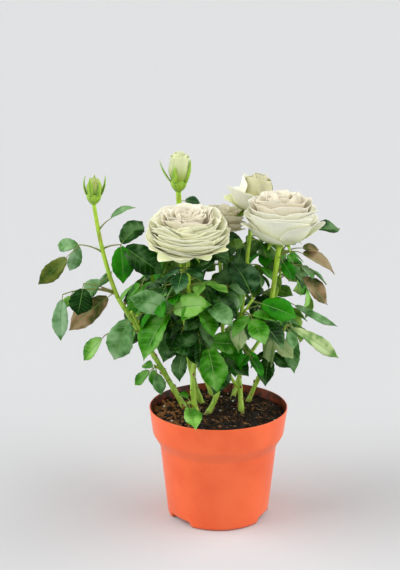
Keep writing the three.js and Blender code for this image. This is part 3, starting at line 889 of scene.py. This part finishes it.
TREES = {name: tree_of(name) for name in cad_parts}
HELD = 0.6  # how far the tip of a leaf may lie from the solid that holds it
FILL_SPACE = 15  # how far a filling leaf's points may lie from its mass's solid
FILL_CLEAR = 2.5  # and how near to anything else
BOX_CLEAR = 1  # and how near to the sides of the box round all solids


def away(point, name):
    """The distance from a point to a solid."""
    return TREES[name].find_nearest(point * MM)[3] / MM


def fits(leaf, mass):
    """True for a filling leaf that stays in its mass's space and clear of all else."""
    low, high = (corner / MM for corner in cad_box)
    others = [name for name in TREES if name != mass]
    for point in leaf.feelers():
        inside = all(low[i] + BOX_CLEAR < point[i] < high[i] - BOX_CLEAR for i in range(3))
        if not inside or away(point, mass) > FILL_SPACE:
            return False
        if any(away(point, name) < FILL_CLEAR for name in others):
            return False
    return True


def make_mass(index, name, leaf_materials, twig_materials):
    """A mass of foliage: its stem, the leaves that its solid holds, extra ones and finer ones."""
    shoot = SHOOTS[name]
    leaves = Piece("leaves" + name.removeprefix("foliage"), *leaf_materials)
    twigs = Piece("twigs" + name.removeprefix("foliage"), *twig_materials)
    curve = Curve.through(*shoot["line"])
    foot, tip = shoot["radii"]
    add_rod(twigs, curve, lambda t: blend(foot, tip, t), 10, 16, STEM)
    looks = seeded(LOOKS_SEED + index)

    def leaf_of(row, changes=()):
        return Leaf(curve.point(row[0]), row, **dict(changes))

    def listed(rows):
        return [(row, row[8], (*row[9:], ())[0]) for row in rows]

    def ruled(rule, seed, size):
        rows = spiral_leaves(shoot, rule, seeded(seed + index), size)
        return [(row, pick_tint(looks), ()) for row in rows]

    own = listed(shoot["leaves"]) + ruled("spiral", FIRST_SEED, LEAFLET)
    held = [(row, tint, changes) for row, tint, changes in own if away(leaf_of(row).tip(), name) < HELD]
    held += listed(shoot.get("extra", ()))
    grown = [(leaf_of(row, changes), tint) for row, tint, changes in held]
    finer = [(leaf_of(row), tint) for row, tint, _ in ruled("fill", FILL_SEED, FILL_LEAFLET)]
    grown += [(leaf, tint) for leaf, tint in finer if fits(leaf, name)]
    for leaf, tint in grown:
        leaf.grow(leaves, twigs, tint, looks)
    leaves.finish("leaf", name, thickness=LEAF_THICKNESS, backs=len(TINTS) + 1)
    twigs.finish("cane")


# ---------------- canes

BARK, SCALE = 0, 1  # materials of the canes
NODE_SPACING = 19  # between the rings where leaves once stood
PRICKLE = 2.6


def add_prickle(piece, root, out, along):
    """A small hooked prickle."""
    hook = Curve(root - out * 0.4, root + out * PRICKLE * 0.6, root + out * PRICKLE - along * PRICKLE * 0.5)
    add_rod(piece, hook, lambda t: blend(0.9, 0.08, t**0.7), 6, 4, SCALE)


def make_cane(index, name, materials):
    """A cane: tapering, swollen at its nodes, with prickles between them."""
    radii, line = CANES[name]
    piece = Piece("bark" + name.removeprefix("cane"), *materials)
    curve = Curve.through(*line)
    length = curve.length()
    draw = seeded(CANE_SEED + index)
    start = 6 + 6 * draw()
    nodes = [(start + NODE_SPACING * i) / length for i in range(int((length - start) / NODE_SPACING) + 1)]

    def radius(t):
        swell = sum(0.16 * math.exp(-(((t - node) * length / 2.2) ** 2)) for node in nodes)
        flare = 0.3 * math.exp(-t * length / 5)
        return blend(radii[0], radii[1], t) * (1 + swell + flare)

    def relief(angle, t):
        ridges = 0.035 * math.sin(5 * angle + 9 * t + index)
        place = Vector((math.cos(angle), math.sin(angle), t * length * 0.2 + 9 * index))
        return ridges + 0.05 * noise.noise(place)

    add_rod(piece, curve, radius, 16, max(12, round(length / 1.8)), BARK, relief)
    turn = 360 * draw()
    for i, node in enumerate(nodes):
        along = curve.tangent(node)
        side = along.cross(heading(turn + SPIRAL * i, 0)).normalized()
        root = curve.point(node) + side * radius(node) * 0.85
        bud = Curve(root, root + along * 1.4 + side * 0.9, root + along * 3.2 + side * 0.9)
        add_rod(piece, bud, lambda t: math.sin(math.pi * blend(0.35, 0.97, t)), 8, 5, SCALE)
        for _ in range(2):
            t = node + (3 + 9 * draw()) / length
            if t < 0.97:
                out = turned(side, along, 360 * draw())
                add_prickle(piece, curve.point(t) + out * radius(t) * 0.9, out, curve.tangent(t))
    piece.finish("cane", name)


# ---------------- pot and peat

POT_STEPS = 168
NOTCH_MARGIN = 1.2  # how much larger a notch is above the floor than below it
lip_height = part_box("pot")[1].z / MM
rim_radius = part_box("pot")[1].x / MM
shoulder_top = lip_height - COLLAR_DEPTH
shoulder_foot = shoulder_top - SHOULDER_DROP


def rounded(corners, steps=4):
    """An outline through (radius, height, rounding) corners, each rounding the distance it takes."""
    points = []
    for i, (radius, height, rounding) in enumerate(corners):
        corner = Vector((radius, 0, height))
        if not rounding:
            points.append(corner)
            continue
        before, after = (Vector((corners[j][0], 0, corners[j][1])) for j in (i - 1, i + 1))
        start = corner + (before - corner).normalized() * rounding
        end = corner + (after - corner).normalized() * rounding
        arc = Curve(start, corner, end)
        points += [arc.point(step / steps) for step in range(steps + 1)]
    return points


def spun(points, steps):
    """A closed shape turned from an outline whose ends are on the axis."""
    bm = bmesh.new()
    verts = [bm.verts.new(point) for point in points]
    edges = [bm.edges.new(pair) for pair in zip(verts, verts[1:])]
    geom, full = verts + edges, 2 * math.pi
    bmesh.ops.spin(bm, geom=geom, cent=(0, 0, 0), axis=UP, angle=full, steps=steps, use_merge=True)
    bmesh.ops.remove_doubles(bm, verts=bm.verts, dist=1e-4)
    bmesh.ops.recalc_face_normals(bm, faces=bm.faces)
    return bm


def in_notch(x, y, margin):
    """How far a place on the pot's foot is inside one of the notches, from 0 to 1."""
    azimuth = math.degrees(math.atan2(y, x))
    nearest = min(abs((azimuth - notch + 180) % 360 - 180) for notch in NOTCH_AZIMUTHS)
    inner = BODY_FOOT_RADIUS - NOTCH_DEPTH
    sideways = 1 - smooth(NOTCH_HALF_ANGLE - 2 + margin, NOTCH_HALF_ANGLE + 2 + margin, nearest)
    return sideways * smooth(inner - 1.5 - margin, inner - margin, math.hypot(x, y))


def make_pot(material):
    """The pot: a thin moulded wall with a rolled lip, a deep collar and a notched foot."""
    foot, shoulder, collar, rim = BODY_FOOT_RADIUS, BODY_TOP_RADIUS, COLLAR_FOOT_RADIUS, rim_radius
    wall = [(blend(foot, shoulder, 0.07), 6, 0), (blend(foot, shoulder, 0.16), 12, 0),
            (shoulder, shoulder_foot, 1.6), (collar, shoulder_top, 1.8)]
    outer = [(0, 0, 0), (foot - 16, 0, 0), (foot - 10, 0, 0), (foot - 7, 0, 0), (foot, 0, 3.2), *wall,
             (rim, lip_height, 0.7)]
    inner = [(radius - WALL, height, rounding) for radius, height, rounding in
             [(rim, lip_height, 0.6), *reversed(wall), (foot, FLOOR, 2)]]
    floor = [(foot - 9, FLOOR, 0), (foot - 12, FLOOR, 0), (foot - 16, FLOOR, 0), (0, FLOOR, 0)]
    bm = spun(rounded(outer + inner + floor), POT_STEPS)
    for vert in bm.verts:
        x, y, z = vert.co
        inside = z > FLOOR - 0.1 and math.hypot(x, y) < foot - WALL + z * 0.14 - 0.2
        share = in_notch(x, y, NOTCH_MARGIN if inside else 0)
        vert.co.z += NOTCH_HEIGHT * share * (1 - smooth(2.5, 12, z))
    drains = Piece("drains")
    for azimuth in NOTCH_AZIMUTHS:
        middle = heading(azimuth + DRAIN_TURN, 0) * (foot - NOTCH_DEPTH / 2)
        hole = Curve(middle, middle + UP * 6, middle + UP * 12)
        add_rod(drains, hole, lambda t: DRAIN_RADIUS, 16, 2)
    plain = placed("pot_plain", mesh_of(bm, "pot_plain"))
    cutter = placed("drains", mesh_of(drains.bm, "drains"))
    cut = plain.modifiers.new("drains", "BOOLEAN")
    cut.operation, cut.solver, cut.object = "DIFFERENCE", "EXACT", cutter
    cut_plain = plain.evaluated_get(bpy.context.evaluated_depsgraph_get())
    pot = Piece("pot_shell", material)
    pot.add(bpy.data.meshes.new_from_object(cut_plain), unmoved)
    for spent in (plain, cutter):
        bpy.data.objects.remove(spent)
    pot.finish("pot", "pot")


PEAT_RADIUS = 61.4
PEAT_RINGS = 56


def soil_height(x, y):
    """The peat's surface: the source's slow swell, with clods and pits on it."""
    swell = SOIL_BUMP * math.sin(0.11 * x + 0.05 * y + 1) * math.cos(0.13 * y - 0.04 * x)
    clods = noise.fractal(Vector((x * 0.11, y * 0.11, 3.7)), 0.8, 2.1, 4)
    edge = smooth(66, 54, math.hypot(x, y))
    return SOIL_TOP + swell + 2.0 * clods * edge


def make_peat(material):
    """The peat: a plug that fills the pot, with a rough top."""
    inset = WALL + GAP
    wall = [(0, FLOOR + 6, 0), (BODY_FOOT_RADIUS - NOTCH_DEPTH - 6, FLOOR + 6, 0),
            (BODY_FOOT_RADIUS - inset, FLOOR + 16, 0), (BODY_TOP_RADIUS - inset, shoulder_foot, 0),
            (COLLAR_FOOT_RADIUS - inset, shoulder_top, 0), (PEAT_RADIUS + 0.3, SOIL_TOP - 2, 0),
            (PEAT_RADIUS + 0.2, SOIL_TOP - 0.7, 0)]
    rings = [(PEAT_RADIUS * (1 - i / PEAT_RINGS), SOIL_TOP, 0) for i in range(1, PEAT_RINGS + 1)]
    bm = spun(rounded(wall + rings), 150)
    for vert in bm.verts:
        if vert.co.z > SOIL_TOP - 0.1:
            vert.co.z = soil_height(vert.co.x, vert.co.y)
    peat = Piece("peat", material)
    peat.add(mesh_of(bm, "peat_plain"), unmoved)
    peat.finish("soil", "soil")


def on_peat(draw, reach=PEAT_RADIUS - 0.9):
    """A random place on the peat's surface."""
    radius, turn = reach * math.sqrt(draw()), 2 * math.pi * draw()
    x, y = radius * math.cos(turn), radius * math.sin(turn)
    return Vector((x, y, soil_height(x, y)))


PEAT, BROWN, DARK, FIBRE, GRIT = range(5)  # materials of the loose peat
CRUMBS, GRITS, FIBRES = 1500, 20, 260


def make_crumbs(peat_material):
    """Loose peat: clods, fibres and white grit, strewn over the surface."""
    draw = seeded(CRUMB_SEED)
    crumbs = Piece(
        "peat_crumbs",
        peat_material,
        plain_surface("bark_crumb", (130, 84, 38), 0.85),
        plain_surface("dark_crumb", (24, 16, 6), 0.9),
        plain_surface("fibre", (176, 134, 86), 0.7),
        plain_surface("grit", (226, 222, 210), 0.8),
    )

    def add_crumb(middle, size, surface):
        stretch = Vector((blend(0.7, 1.5, draw()), blend(0.7, 1.2, draw()), blend(0.5, 0.9, draw()))) * size
        turn = Matrix.Rotation(TURN * draw(), 3, heading(360 * draw(), 90 * draw()))
        offset = 9 * draw()

        def move(x, y, z):
            ragged = 1 + 0.5 * noise.noise(Vector((x, y, z)) * 1.7 + Vector((offset, offset, 0)))
            return middle + turn @ Vector((x * stretch.x, y * stretch.y, z * stretch.z)) * ragged

        crumbs.add(template("crumb", 1), move, surface)

    for _ in range(CRUMBS):
        spot = on_peat(draw)
        dry = smooth(0, -50, spot.x)  # the peat is drier and browner towards the left
        size = 0.5 + (1.9 + 0.9 * dry) * draw() ** 2.2
        surface = DARK if draw() < 0.66 - 0.56 * dry else BROWN if draw() < 0.2 + 0.6 * dry else PEAT
        add_crumb(spot + UP * size * 0.2, size, surface)
    for _ in range(GRITS):
        add_crumb(on_peat(draw, 58) + UP * 0.5, 0.6 + 0.8 * draw(), GRIT)
    for _ in range(FIBRES):
        middle = on_peat(draw, 56) + UP * 0.6
        along = heading(360 * draw(), 24 * (draw() - 0.4)) * blend(1.5, 6, draw() ** 2)
        bend = heading(360 * draw(), 40) * 1.6 * draw()
        thick = 0.12 + 0.16 * draw()
        strand = Curve(middle - along, middle + bend, middle + along)
        add_rod(crumbs, strand, lambda t: thick, 3, 4, FIBRE if draw() < 0.6 else BROWN)
    crumbs.finish("soil")


# ---------------- blooms

PETAL_COLUMNS = 6
PETAL_ROWS = 8

# A whorl of petals, over the bloom's radius: its lip, the way there and its foot as (radius, height);
# how many petals, or their azimuths; half a petal's width; how far the lip rolls out in degrees; how
# ruffled it is; its tint; and how far the lip is drawn to a point.
Whorl = namedtuple("Whorl", "lip way foot petals width roll ruffle tint point", defaults=(0,))

# Blooms: the stem they sit on, the azimuth and angle of their lean, their radius, and their whorls' values.
BLOOMS = {
    "bloom_front": ("foliage_front", (-90, 9), 35, (
        ((0.92, 0.02), (0.62, 0.42), (0.08, 0.26), (-142, 116), 0.5, 20, 0.06, "guard", 0.12),
        ((0.88, 0.16), (0.6, 0.44), (0.08, 0.26), (-104, -52, 40), 0.44, 20, 0.06, "guard", 0.14),
        ((1.2, 0.44), (0.66, 0.3), (0.08, 0.26), (-30, 160), 0.3, 8, 0.05, "guard", 0.3),
        ((0.88, 0.4), (0.76, 0.14), (0.08, 0.24), 5, 0.84, 12, 0.05, "cream"),
        ((0.9, 0.48), (0.82, 0.12), (0.08, 0.24), 5, 0.8, 10, 0.05, "cream"),
        ((0.92, 0.56), (0.88, 0.1), (0.08, 0.24), 5, 0.8, 8, 0.05, "cream"),
        ((0.92, 0.64), (0.93, 0.14), (0.09, 0.25), 5, 0.76, 7, 0.05, "cream"),
        ((0.91, 0.73), (0.97, 0.18), (0.1, 0.26), 5, 0.76, 7, 0.05, "cream"),
        ((0.89, 0.81), (0.97, 0.24), (0.1, 0.27), 5, 0.74, 7, 0.05, "cream"),
        ((0.87, 0.88), (0.98, 0.3), (0.1, 0.28), 5, 0.74, 8, 0.05, "cream"),
        ((0.84, 0.94), (0.96, 0.35), (0.1, 0.3), 5, 0.7, 9, 0.06, "cream"),
        ((0.81, 1.0), (0.94, 0.4), (0.1, 0.32), 5, 0.7, 10, 0.07, "cream"),
        ((0.74, 1.1), (0.87, 0.48), (0.08, 0.34), 6, 0.62, 14, 0.08, "cream"),
        ((0.66, 1.17), (0.78, 0.52), (0.08, 0.36), 7, 0.5, 18, 0.1, "cream"),
        ((0.58, 1.22), (0.69, 0.56), (0.08, 0.38), 7, 0.46, 20, 0.11, "heart"),
        ((0.5, 1.26), (0.6, 0.6), (0.06, 0.4), 7, 0.4, 18, 0.11, "heart"),
        ((0.42, 1.28), (0.51, 0.64), (0.05, 0.42), 7, 0.34, 14, 0.11, "heart"),
        ((0.33, 1.29), (0.41, 0.66), (0.05, 0.44), 6, 0.3, 10, 0.1, "heart"),
        ((0.23, 1.29), (0.3, 0.68), (0.05, 0.44), 6, 0.26, 6, 0.08, "heart"),
        ((0.12, 1.27), (0.18, 0.68), (0.04, 0.44), 5, 0.22, 4, 0.06, "heart"),
    )),
    "bloom_behind": ("foliage_centre", (60, 6), 24, (
        ((1.04, 0.4), (0.7, 0.3), (0.1, 0.16), 5, 0.8, 30, 0.06, "shaded"),
        ((1.0, 0.74), (0.9, 0.16), (0.1, 0.2), 5, 0.8, 24, 0.05, "shaded"),
        ((0.9, 1.06), (0.94, 0.3), (0.1, 0.24), 5, 0.74, 20, 0.05, "shaded"),
        ((0.7, 1.26), (0.8, 0.44), (0.1, 0.3), 6, 0.56, 20, 0.08, "shaded"),
        ((0.46, 1.32), (0.58, 0.54), (0.08, 0.36), 5, 0.42, 10, 0.08, "shaded"),
        ((0.2, 1.28), (0.3, 0.64), (0.05, 0.4), 4, 0.3, 0, 0.06, "shaded"),
    )),
    "bloom_right": ("foliage_right", (-60, 4), 36.5, (
        ((1.0, 0.84), (0.84, 0.0), (0.09, 0.1), (-158,), 0.9, 58, 0.02, "outer", 0.35),
        ((1.08, 0.76), (0.84, 0.0), (0.09, 0.1), (-2,), 0.42, 14, 0.03, "outer", 0.3),
        ((0.74, 1.02), (0.84, -0.1), (0.09, 0.08), (-112,), 1.05, 12, 0.02, "outer"),
        ((0.78, 0.92), (0.84, -0.08), (0.09, 0.09), (-34,), 0.76, 36, 0.03, "outer"),
        ((0.76, 0.96), (0.8, -0.06), (0.09, 0.09), (34, 96, 160), 0.86, 30, 0.04, "petal"),
        ((0.72, 1.13), (0.82, -0.02), (0.09, 0.12), (-70, -8, 60, 124, -166), 0.84, 18, 0.04, "petal"),
        ((0.68, 1.24), (0.78, 0.1), (0.09, 0.14), (-140, -40, 20, 94, 154), 0.78, 24, 0.06, "petal"),
        ((0.6, 1.31), (0.7, 0.3), (0.09, 0.2), 5, 0.64, 22, 0.07, "heart"),
        ((0.5, 1.36), (0.6, 0.44), (0.08, 0.3), 6, 0.5, 20, 0.09, "heart"),
        ((0.37, 1.39), (0.48, 0.6), (0.07, 0.36), 5, 0.38, 14, 0.09, "heart"),
        ((0.24, 1.4), (0.34, 0.7), (0.05, 0.4), 5, 0.3, 6, 0.07, "heart"),
        ((0.11, 1.39), (0.2, 0.7), (0.04, 0.4), 4, 0.22, 4, 0.05, "heart"),
        ((0.36, 1.62), (0.24, 1.0), (0.1, 0.6), (-20,), 0.16, 60, 0.0, "heart", 0.4),
    )),
    "bloom_half_open": ("foliage_centre_right", (14, 11), 22, (
        ((1.12, 1.42), (1.08, 0.2), (0.14, 0.3), (-150,), 1.1, 20, 0.05, "petal"),
        ((1.25, 0.9), (0.9, 0.16), (0.14, 0.3), (-50, 50, 160), 0.8, 30, 0.08, "guard"),
        ((0.95, 1.3), (1.1, 0.3), (0.14, 0.36), (-96, 10, 110), 0.86, 30, 0.05, "petal"),
        ((0.5, 1.78), (1.2, 1.0), (0.14, 0.42), (172,), 0.9, 10, 0.01, "petal", 0.1),
        ((0.34, 1.68), (1.16, 1.1), (0.14, 0.44), (-4, 100), 1.1, 5, 0.02, "core", 0.1),
        ((0.3, 1.8), (1.1, 1.1), (0.14, 0.46), (-112, 50), 1.05, 8, 0.02, "core", 0.1),
        ((0.1, 1.95), (0.84, 1.2), (0.12, 0.5), 4, 0.7, 3, 0.02, "core", 0.1),
    )),
    "bud_top": ("foliage_top", (0, 3), 7.6, (
        ((0.78, 4.3), (1.9, 2.1), (0.7, 0.9), 3, 1.7, 10, 0.03, "bud", 0.06),
        ((0.5, 4.6), (1.75, 2.5), (0.6, 1.0), 3, 1.5, 8, 0.03, "bud", 0.1),
        ((0.2, 4.6), (1.0, 3.0), (0.4, 1.2), 3, 0.9, 0, 0.02, "bud"),
    )),
    "bud_left": ("foliage_left_tip", (0, 3), 6.8, (
        ((0.24, 3.3), (1.75, 2.0), (0.6, 0.9), 3, 1.6, 0, 0.02, "green_bud"),
        ((0.1, 3.3), (1.2, 2.2), (0.4, 1.0), 3, 1.1, 0, 0.02, "green_bud"),
    )),
}

# Tints of petals: the lip, the claw, and how far up the claw's colour fades.
PETAL_TINTS = {
    "petal": ((248, 247, 226), (196, 202, 40), 0.74),
    "outer": ((243, 244, 222), (176, 190, 20), 1.0),
    "cream": ((248, 248, 218), (208, 212, 84), 0.9),
    "guard": ((246, 251, 200), (178, 208, 50), 0.66),
    "heart": ((238, 231, 210), (208, 192, 130), 0.8),
    "shaded": ((216, 209, 180), (190, 176, 106), 0.9),
    # core: a deeper cream, darkened further as painted shade deep in the half-open bloom
    "core": ((206, 203, 160), (178, 172, 70), 0.8),
    "bud": ((214, 221, 168), (150, 180, 30), 0.9),
    "green_bud": ((170, 188, 96), (120, 160, 40), 0.7),
}
HINGE = 0.66  # where a petal's lip begins to roll
PETAL_THICKNESS = 0.35
SEPAL_THICKNESS = 0.45
TIGHTEST = 0.16  # the least radius that a petal wraps round


def add_petal(piece, size, whorl, turn, surface, draw):
    """A petal: a sheet that leaves its foot, wraps round the bloom and rolls out at its lip."""
    half_width = whorl.width * blend(0.88, 1.12, draw())
    lip = (whorl.lip[0] * blend(0.96, 1.04, draw()), 0, whorl.lip[1] + 0.09 * (draw() - 0.5))
    profile = Curve((whorl.foot[0], 0, whorl.foot[1]), (whorl.way[0], 0, whorl.way[1]), lip)
    roll = math.radians(whorl.roll * blend(0.6, 1.4, draw()) + 0.5)
    bend_radius = profile.length() * (1 - HINGE) / roll
    phase, second = TURN * draw(), TURN * draw()
    notch, crumple = 0.05 * draw(), whorl.ruffle + 0.01
    corner = min(0.22, 0.1 / whorl.width)
    seed = Vector((9 * draw(), 9 * draw(), 9 * draw()))
    radial, sideways = heading(turn, 0), heading(turn + 90, 0)

    def move(x, y, z):
        v = (y + 1) / 2
        dip = notch * math.exp(-((x / 0.2) ** 2)) * v
        v *= 1 - corner * abs(x) ** 2.6 - whorl.point * abs(x) ** 1.2 - dip
        bent = max(0, v - HINGE) / (1 - HINGE)
        spine, ahead = profile.point(min(v, HINGE)), profile.tangent(min(v, HINGE))
        out = Vector((ahead.z, 0, -ahead.x))
        turned_by = roll * bent
        spine = spine + (ahead * math.sin(turned_by) + out * (1 - math.cos(turned_by))) * bend_radius
        ripple = whorl.ruffle * bent * (math.sin(3.1 * x + phase) + 0.5 * math.sin(7 * x + second))
        spine = spine + out * (ripple + 0.05 * x * x * bent + 0.02 * x)
        half = half_width * (0.22 + 0.78 * math.sin(math.pi * min(0.5, 0.62 * v + 0.04)) ** 0.9)
        curved = max(spine.x, TIGHTEST)
        angle = x * half / curved
        place = radial * (spine.x - curved * (1 - math.cos(angle))) + sideways * curved * math.sin(angle)
        place.z = spine.z
        return (place + noise.noise_vector(place * 2.2 + seed) * crumple * v) * size

    piece.add(template("sheet", PETAL_COLUMNS, PETAL_ROWS), move, surface)


def add_sepal(piece, foot, azimuth, rise, tip_rise, length):
    """A sepal: narrow and long-pointed, its outer half bent to another rise."""
    start = heading(azimuth, 0) * foot[0] + UP * foot[1]
    side = heading(azimuth + 90, 0)
    middle = start + heading(azimuth, rise) * length * 0.5
    line = Curve(start, middle, middle + heading(azimuth, tip_rise) * length * 0.5)

    def move(x, y, z):
        t = (y + 1) / 2
        wide = length * (0.15 * math.sin(math.pi * (0.25 + 0.75 * t)) ** 1.3 + 0.012)
        out = line.tangent(t).cross(side)
        return line.point(t) - side * x * wide + out * (abs(x) * wide * 0.35 - wide * 0.1)

    piece.add(template("sheet", 4, 9), move)


def seat_of(stem, azimuth, lean):
    """The turn and place of a bloom on its stem's tip."""
    curve = Curve.through(*SHOOTS[stem]["line"])
    tip = curve.point(1) + curve.tangent(1) * GAP
    turn = UP.rotation_difference(heading(azimuth, 90 - lean))
    return Matrix.Translation(tip) @ turn.to_matrix().to_4x4()


# Under each bloom: the hip's profile as (radius, height), the sepals' foot as (radius, height), and each
# sepal's azimuth, rise, tip's rise and length.
CALYCES = {
    "bloom_front": (
        ((2.0, -1), (3.2, 4), (4.4, 7)), (4.2, 6.0),
        ((-120, -20, -60, 17), (-50, -15, -50, 15), (20, -20, -60, 17), (90, -10, -40, 18),
         (165, -20, -50, 16)),
    ),
    "bloom_behind": (
        ((2.0, -1), (2.6, 2.4), (3.6, 4.4)), (3.4, 3.8),
        ((-100, -15, -60, 14), (-30, -20, -50, 13), (40, -15, -60, 14), (110, -10, -40, 15),
         (185, -20, -50, 13)),
    ),
    "bloom_right": (
        ((2.7, -3), (4.2, 1), (5.0, 6)), (4.8, 5.0),
        ((-128, -5, -50, 17), (-56, -10, -60, 16), (14, 0, -40, 19), (88, -10, -50, 18), (160, 0, -35, 19)),
    ),
    "bloom_half_open": (
        ((2.0, -1), (5.4, 3), (4.8, 9)), (4.6, 7.0),
        ((-140, -10, -40, 17), (-66, 10, 30, 16), (10, 20, 40, 18), (80, 10, 20, 17), (150, -20, -50, 18)),
    ),
    "bud_top": (
        ((2.6, -2), (8.8, 3), (7.4, 9)), (7.5, 7.0),
        ((182, 46, 76, 22), (-112, 60, 98, 17), (-24, 66, 100, 23), (52, 62, 96, 21), (116, 60, 90, 20)),
    ),
    "bud_left": (
        ((2.2, -2), (8.0, 3), (6.6, 8)), (6.4, 6.0),
        ((176, 58, 112, 20), (-112, 74, 88, 18), (-46, 72, 104, 16), (18, 60, 100, 20), (94, 72, 90, 18)),
    ),
}


def make_bloom(index, name, petal_materials, calyx_material):
    """A bloom or bud: petals in whorls, each whorl turned against the last, on a hip with sepals."""
    stem, lean, size, whorls = BLOOMS[name]
    draw = seeded(BLOOM_SEED + index)
    petals = Piece("petals_" + name, *petal_materials.values())
    tints = list(petal_materials)
    turn = 360 * draw()
    for whorl in (Whorl(*values) for values in whorls):
        turns = whorl.petals
        if isinstance(turns, int):
            turns = [turn + 360 * i / whorl.petals for i in range(whorl.petals)]
            turn += 180 / whorl.petals + 17
        for azimuth in turns:
            aside = azimuth + 14 * (draw() - 0.5)
            add_petal(petals, size, whorl, aside, tints.index(whorl.tint), draw)
    seat = seat_of(stem, *lean)
    petals.bm.transform(seat)
    slot = "petal" if name.startswith("bloom") else "bud"
    petals.finish(slot, name, thickness=PETAL_THICKNESS, levels=1)
    calyx = Piece("calyx_" + name, calyx_material)
    profile, foot, sepals = CALYCES[name]
    hip = Curve(*((radius, 0, height) for radius, height in profile))
    stand = Curve((0, 0, profile[0][1]), (0, 0, profile[1][1]), (0, 0, profile[2][1]))
    add_rod(calyx, stand, lambda t: hip.point(t).x, 14, 8)
    for values in sepals:
        add_sepal(calyx, foot, *values)
    calyx.bm.transform(seat)
    calyx.finish("bud", thickness=SEPAL_THICKNESS)


# ---------------- studio

FLOOR_RADIUS = 14  # in metres, as the lights' places and sizes
CAMERA_PLACE = (-17.3, -1219.3, 558.0)
CAMERA_PITCH = 15.3  # below the horizontal
CAMERA_LENS = 86.83
CAMERA_FILM = 36


def soft_sun(name, azimuth, rise, angle, strength):
    """Even light from one side, as soft as a large window's."""
    light = bpy.data.lights.new(name, "SUN")
    light.angle, light.energy = math.radians(angle), strength
    placed(name, light).rotation_euler = (-heading(azimuth, rise)).to_track_quat("-Z", "Y").to_euler()


def soft_box(name, place, size, power):
    """A square soft box that looks at the pot."""
    light = bpy.data.lights.new(name, "AREA")
    light.size, light.energy = size, power
    made = placed(name, light)
    made.location = place
    made.rotation_euler = (Vector((0, 0, 0.15)) - made.location).to_track_quat("-Z", "Y").to_euler()


def make_studio():
    """A wide pale floor, white light all round, soft light from both sides, and the camera."""
    bm = bmesh.new()
    bmesh.ops.create_circle(bm, cap_ends=True, segments=96, radius=FLOOR_RADIUS)
    floor = placed("floor", mesh_of(bm, "floor"))
    floor.data.materials.append(plain_surface("floor", (198, 199, 200), 0.9))
    floor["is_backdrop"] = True

    world = bpy.data.worlds.new("studio")
    bpy.context.scene.world = world
    world.use_nodes = True
    background = world.node_tree.nodes["Background"].inputs
    background["Color"].default_value = (1, 1, 1, 1)
    background["Strength"].default_value = 0.4
    soft_sun("left", azimuth=186, rise=36, angle=60, strength=2.5)
    soft_sun("right", azimuth=-2, rise=32, angle=80, strength=2.6)
    soft_box("front", place=(-0.1, -1.3, 0.8), size=1.0, power=3)
    bpy.context.scene.view_settings.view_transform = "Standard"

    camera = bpy.data.cameras.new("camera")
    camera.sensor_fit = "VERTICAL"
    camera.sensor_height = CAMERA_FILM
    camera.lens = CAMERA_LENS
    camera.clip_end = 100
    made = placed("camera", camera)
    made.location = Vector(CAMERA_PLACE) * MM
    made.rotation_euler = (math.radians(90 - CAMERA_PITCH), 0, 0)
    bpy.context.scene.camera = made


# ---------------- the plant

noise.seed_set(PETAL_SEED)  # else the petals' crumpling is new in each run
make_studio()
bark = cane_surface()
young_stem = stem_surface("young_stem", (178, 216, 58), (138, 184, 38), (154, 136, 60))
leaf_stalk = stem_surface("leaf_stalk", (124, 150, 58), (128, 118, 56), (140, 84, 52))
scale = plain_surface("bud_scale", (150, 96, 62), 0.5)
sepal = stem_surface("sepal", (158, 198, 56), (104, 156, 40), (130, 140, 70))
make_pot(pot_surface())
peat_material = peat_surface()
make_peat(peat_material)
make_crumbs(peat_material)
for order, name in enumerate(CANES):
    make_cane(order, name, (bark, scale))
leaf_materials = leaf_surfaces()
for order, name in enumerate(SHOOTS):
    make_mass(order, name, leaf_materials, (young_stem, leaf_stalk))
petal_materials = {tint: petal_surface("petal_" + tint, *colours) for tint, colours in PETAL_TINTS.items()}
for order, name in enumerate(BLOOMS):
    make_bloom(order, name, petal_materials, sepal)

boxes = {"cad": cad_box, "visual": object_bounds()}
{key: [list(corner) for corner in pair] for key, pair in boxes.items()}
